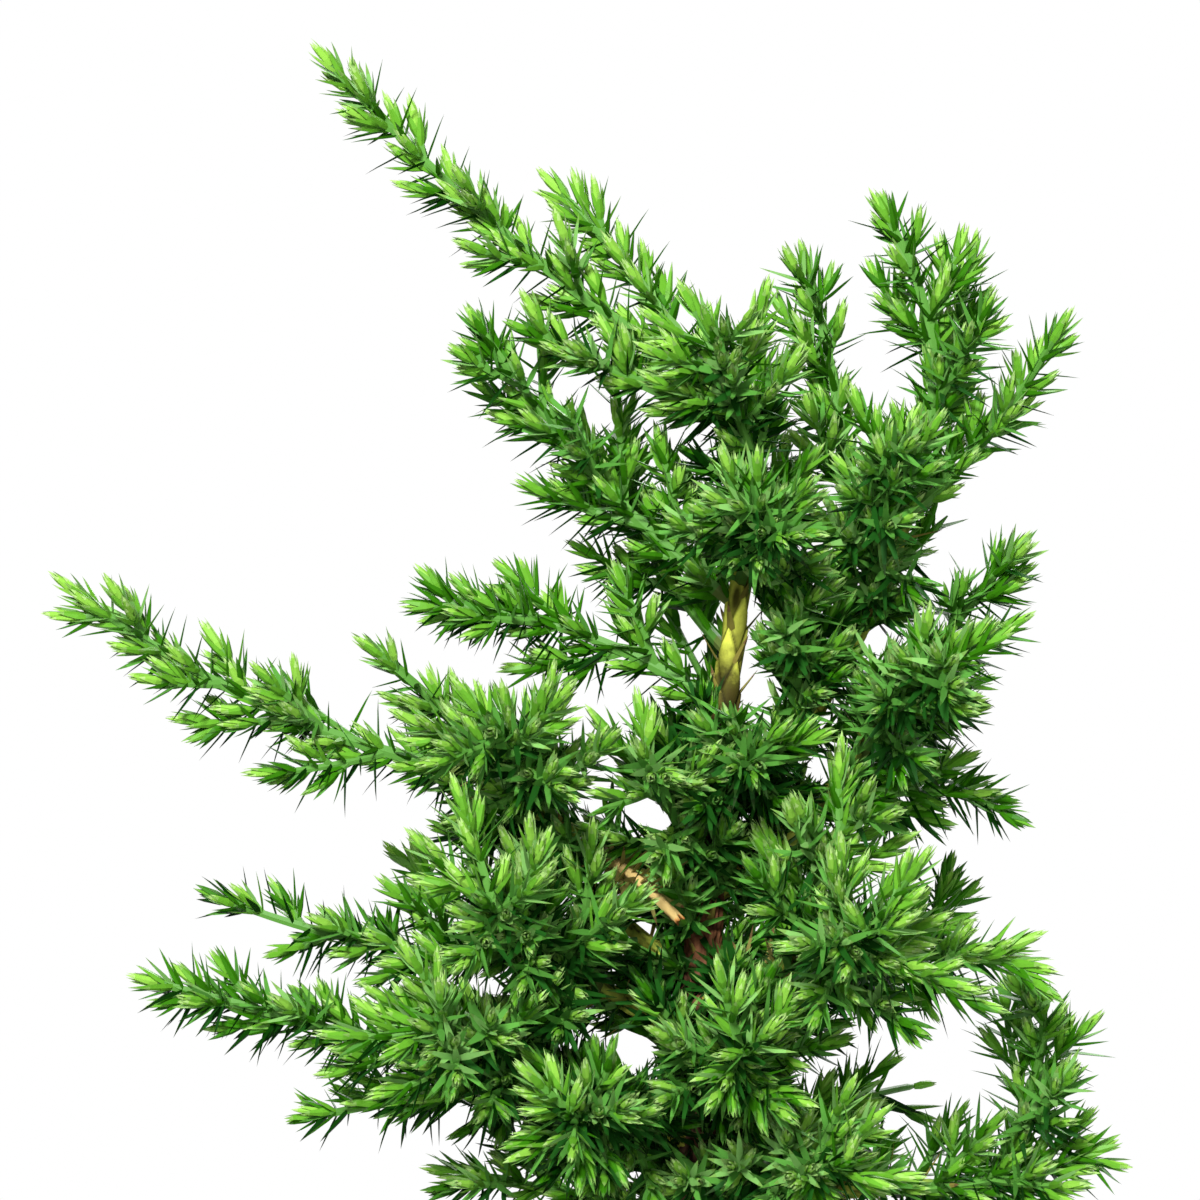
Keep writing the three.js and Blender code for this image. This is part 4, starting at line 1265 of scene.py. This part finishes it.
def hand_made(points):
    """Points moved by the slight unevenness of a pot pressed by hand, but for its level feet."""
    # Without a seed, noise vectors would be other ones on every run
    noise.seed_set(HAND_SEED)
    push = np.array([noise.noise_vector(Vector(p * HAND_SCALE)) for p in points])
    return points + HAND_UNEVEN * push * np.clip(points[:, 2:] / FOOT_HEIGHT - 1, 0, 1)


def foot_points(x, y):
    """A foot that tapers towards the ground, where its edge is broken."""
    taper = 2 * FOOT_TAPER
    low = rounded_ring(FOOT_LENGTH - taper, FOOT_WIDTH - taper, FOOT_CORNER - FOOT_TAPER, 0)
    high = rounded_ring(FOOT_LENGTH, FOOT_WIDTH, FOOT_CORNER, FOOT_HEIGHT + 2 * EDGE_ROUND)
    rings = np.stack([mix(low, high, share) for share in FOOT_LEVELS])
    rings[0] = mix(rings[0], rings[0].mean(0), FOOT_EDGE)
    return skin(rings + np.array([x, y, 0]))


def drain_points(x):
    """The round post that cuts a drain hole through the pot's floor."""
    angles = round_angles(DRAIN_SIDES)
    ring = np.stack([x + DRAIN_RADIUS * np.cos(angles), DRAIN_RADIUS * np.sin(angles), 0 * angles], 1)
    heights = (FOOT_HEIGHT - FLOOR_THICKNESS, FOOT_HEIGHT + 2 * FLOOR_THICKNESS)
    return skin(np.stack([ring + UP * z for z in heights]))


def carve(body, tools):
    """Join or cut tools, given as (operation, mesh), with a body, and keep the result as its mesh."""
    made = []
    for number, (operation, (points, triangles)) in enumerate(tools):
        tool = piece(f"tool_{number}", points, triangles, list(body.data.materials))
        change = body.modifiers.new(tool.name, "BOOLEAN")
        change.object = tool
        change.operation = operation
        change.solver = "EXACT"
        made.append(tool)
    shaped = body.evaluated_get(bpy.context.evaluated_depsgraph_get())
    body.data = bpy.data.meshes.new_from_object(shaped)
    body.modifiers.clear()
    for tool in made:
        bpy.data.objects.remove(tool)
    body.data.polygons.foreach_set("use_smooth", np.ones(len(body.data.polygons), bool))
    body.data.set_sharp_from_angle(angle=math.radians(SHARP_ANGLE))


def dress_pot():
    """The pot with its four feet and two drain holes."""
    points, triangles = skin(np.stack([pot_ring(z, inset) for z, inset in pot_profile()]))
    pot = piece("clay_pot", hand_made(points), triangles, [clay_material()])
    x = POT_LENGTH / 2 - RIM_PROUD - POT_LEAN - FOOT_LENGTH / 2 - FOOT_INSET
    y = POT_WIDTH / 2 - RIM_PROUD - POT_LEAN - FOOT_WIDTH / 2 - FOOT_INSET
    feet = [("UNION", foot_points(sx * x, sy * y)) for sx in (1, -1) for sy in (1, -1)]
    drains = [("DIFFERENCE", drain_points(side * DRAIN_SPACING / 2)) for side in (1, -1)]
    carve(pot, feet + drains)
    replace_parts(pot, "pot")


def soil_ring(ring, share):
    """A ring of the soil's top, from the pot's wall at share 0 to the seat under the trunk at share 1."""
    angles = np.arctan2(ring[:, 1] - PLANT[1], ring[:, 0] - PLANT[0])
    seat = np.stack([np.cos(angles), np.sin(angles)], 1) * SEAT_RADIUS + PLANT[:2]
    return np.column_stack([mix(ring[:, :2], seat, share), np.full(len(ring), soil_height(share))])


def soil_height(share):
    """The soil's height at a share of the way from the pot's wall to the seat."""
    return mix(POT_HEIGHT - SOIL_BELOW_RIM, SEAT_Z, np.sin(share * math.pi / 2))


def dress_soil():
    """The soil's block, and the grit that lies on it."""
    edge = WALL + SOIL_CLEAR
    outer = pot_ring(POT_HEIGHT - SOIL_BELOW_RIM, edge)
    tops = [soil_ring(outer, share) for share in np.linspace(0, 1, SOIL_RINGS)]
    tops += [mix(tops[-1], PLANT, share) for share in SEAT_RINGS]
    points, triangles = skin(np.stack([pot_ring(FOOT_HEIGHT + FLOOR_THICKNESS, edge), *tops]))
    lumps = np.array([noise.fractal(Vector(p * LUMP_SCALE), *LUMP_NOISE) for p in points])
    on_top = points[:, 2] > outer[0, 2] + LUMPS_ABOVE
    points[:, 2] += np.where(on_top, LUMP_HEIGHT * np.clip(lumps, *LUMP_RANGE), 0)
    soil = piece("soil_block", points, triangles, [soil_material()], smooth=True)
    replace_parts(soil, "soil")
    add_grit(outer[:, :2] - PLANT[:2])


def add_grit(rim):
    """Angular granules in three colours, scattered over the soil inside a rim as seen from the trunk."""
    draw = np.random.default_rng(GRIT_COUNT)
    spots = draw.uniform(rim.min(0), rim.max(0), (2 * GRIT_COUNT, 2))
    distance = np.linalg.norm(spots, axis=1)
    bearing = np.arctan2(spots[:, 1], spots[:, 0])
    reach = np.interp(bearing, *rim_reach(rim))
    chosen = np.flatnonzero((distance < reach - GRIT_RADII[1]) & (distance > GRIT_INNER))[:GRIT_COUNT]
    share = np.clip((reach - distance) / (reach - SEAT_RADIUS), 0, 1)[chosen]
    count = len(chosen)
    radius = mix(*GRIT_RADII, draw.random(count) ** 2)
    places = np.column_stack([spots[chosen] + PLANT[:2], soil_height(share) - GRIT_SUNK * radius])
    corners, faces = icosahedron()
    shapes = corners * draw.uniform(*GRIT_BUMPS, (count, len(corners), 1))
    shapes *= draw.uniform(*GRIT_STRETCH, (count, 1, 3)) * radius[:, None, None]
    points = (places[:, None] + shapes).reshape(-1, 3)
    triangles = (faces[None] + np.arange(count)[:, None, None] * len(corners)).reshape(-1, 3)
    colours = np.repeat(draw.choice(len(GRIT_COLOURS), count, p=GRIT_SHARES), len(faces))
    finishes = [
        plain_material(f"grit_{name}", colour, GRIT_ROUGHNESS, GRIT_SHINE)
        for name, colour in GRIT_COLOURS.items()]
    piece("grit", points, triangles, finishes, colours)


def rim_reach(rim):
    """Bearings round the trunk in rising order, and how far away the rim is in each."""
    fine = np.concatenate([mix(rim, np.roll(rim, -1, 0), share) for share in np.linspace(0, 1, RIM_STEPS)])
    bearing = np.arctan2(fine[:, 1], fine[:, 0])
    order = np.argsort(bearing)
    return bearing[order], np.linalg.norm(fine, axis=1)[order]


def icosahedron():
    """Corners and triangles of a regular solid with twenty faces, whose edges are 2 long at first."""
    golden = (1 + 5**0.5) / 2
    past_an_edge = 2.1
    corners = [(0, a, b * golden) for a in (-1, 1) for b in (-1, 1)]
    corners += [(a, b * golden, 0) for a in (-1, 1) for b in (-1, 1)]
    corners += [(b * golden, 0, a) for a in (-1, 1) for b in (-1, 1)]
    corners = np.array(corners, float)
    faces = []
    for i in range(len(corners)):
        for j in range(i + 1, len(corners)):
            for k in range(j + 1, len(corners)):
                trio = corners[[i, j, k]]
                sides = np.linalg.norm(trio - np.roll(trio, 1, 0), axis=1)
                if sides.max() < past_an_edge:
                    outer = np.dot(np.cross(trio[1] - trio[0], trio[2] - trio[0]), trio.sum(0)) > 0
                    faces.append((i, j, k) if outer else (i, k, j))
    return unit(corners), np.array(faces)


def floor_material():
    """A pale floor that fades out towards its rim."""
    made, tree, shader = new_material("floor")
    place = add_node(tree, "ShaderNodeTexCoord")
    reach = add_node(tree, "ShaderNodeVectorMath", {"operation": "LENGTH"})
    fade = add_node(
        tree, "ShaderNodeMapRange", {"interpolation_type": "SMOOTHSTEP"},
        From_Min=FLOOR_SOLID * MM, From_Max=FLOOR_RADIUS * MM, To_Min=1.0, To_Max=0.0)
    wire(
        tree,
        (place, "Object", reach, 0),
        (reach, "Value", fade, "Value"),
        (fade, "Result", shader, "Alpha"),
    )
    set_values(shader, Base_Color=(*FLOOR_COLOUR, 1), Roughness=FLOOR_ROUGHNESS)
    return made


def add_floor():
    """A round floor, which lies under what the main view shows."""
    angles = round_angles(FLOOR_SIDES)
    ring = np.stack([np.cos(angles), np.sin(angles), 0 * angles], 1) * FLOOR_RADIUS
    points = np.concatenate([ring, np.zeros((1, 3))])
    corner = np.arange(FLOOR_SIDES)
    triangles = np.stack([corner, (corner + 1) % FLOOR_SIDES, np.full(FLOOR_SIDES, FLOOR_SIDES)], 1)
    mesh = bpy.data.meshes.new("floor")
    mesh.from_pydata((points * MM).tolist(), [], triangles.tolist())
    mesh.materials.append(floor_material())
    add_object("floor", mesh)


def look_along(made, ahead):
    """Turns a camera or a light to look along a direction."""
    made.rotation_mode = "QUATERNION"
    made.rotation_quaternion = ahead.to_track_quat("-Z", "Y")


def add_camera():
    camera = add_object("camera", bpy.data.cameras.new("camera"))
    bpy.context.scene.camera = camera
    camera.data.sensor_width = SENSOR
    camera.data.lens = LENS
    lift = math.radians(CAMERA_LIFT)
    back = Vector((0, -math.cos(lift), math.sin(lift)))
    camera.location = Vector(CAMERA_TARGET) * MM + back * (CAMERA_AWAY * MM)
    look_along(camera, -back)


def add_area_light(name, place, size, power):
    lamp = bpy.data.lights.new(name, "AREA")
    lamp.energy = power
    lamp.size = size
    made = add_object(name, lamp)
    made.location = place
    look_along(made, Vector(LIGHT_AIM) - made.location)


def add_world():
    """A room that looks white, but hardly lights the plant."""
    world = bpy.data.worlds.new("white_room")
    bpy.context.scene.world = world
    world.use_nodes = True
    tree = world.node_tree
    background = tree.nodes["Background"]
    path = add_node(tree, "ShaderNodeLightPath")
    strength = add_node(tree, "ShaderNodeMapRange", To_Min=ROOM_GLOW, To_Max=1.0)
    wire(tree, (path, "Is Camera Ray", strength, "Value"), (strength, "Result", background, "Strength"))
    set_values(background, Color=(1, 1, 1, 1))


bpy.context.scene.view_settings.view_transform = "Standard"
add_camera()
add_world()
for light in LIGHTS:
    add_area_light(**light)
MOTTLE = mottle_group()
GRAIN = grain_group()
add_floor()
grow_limbs()
dress_pot()
dress_soil()
dress_limbs()
dress_crown()
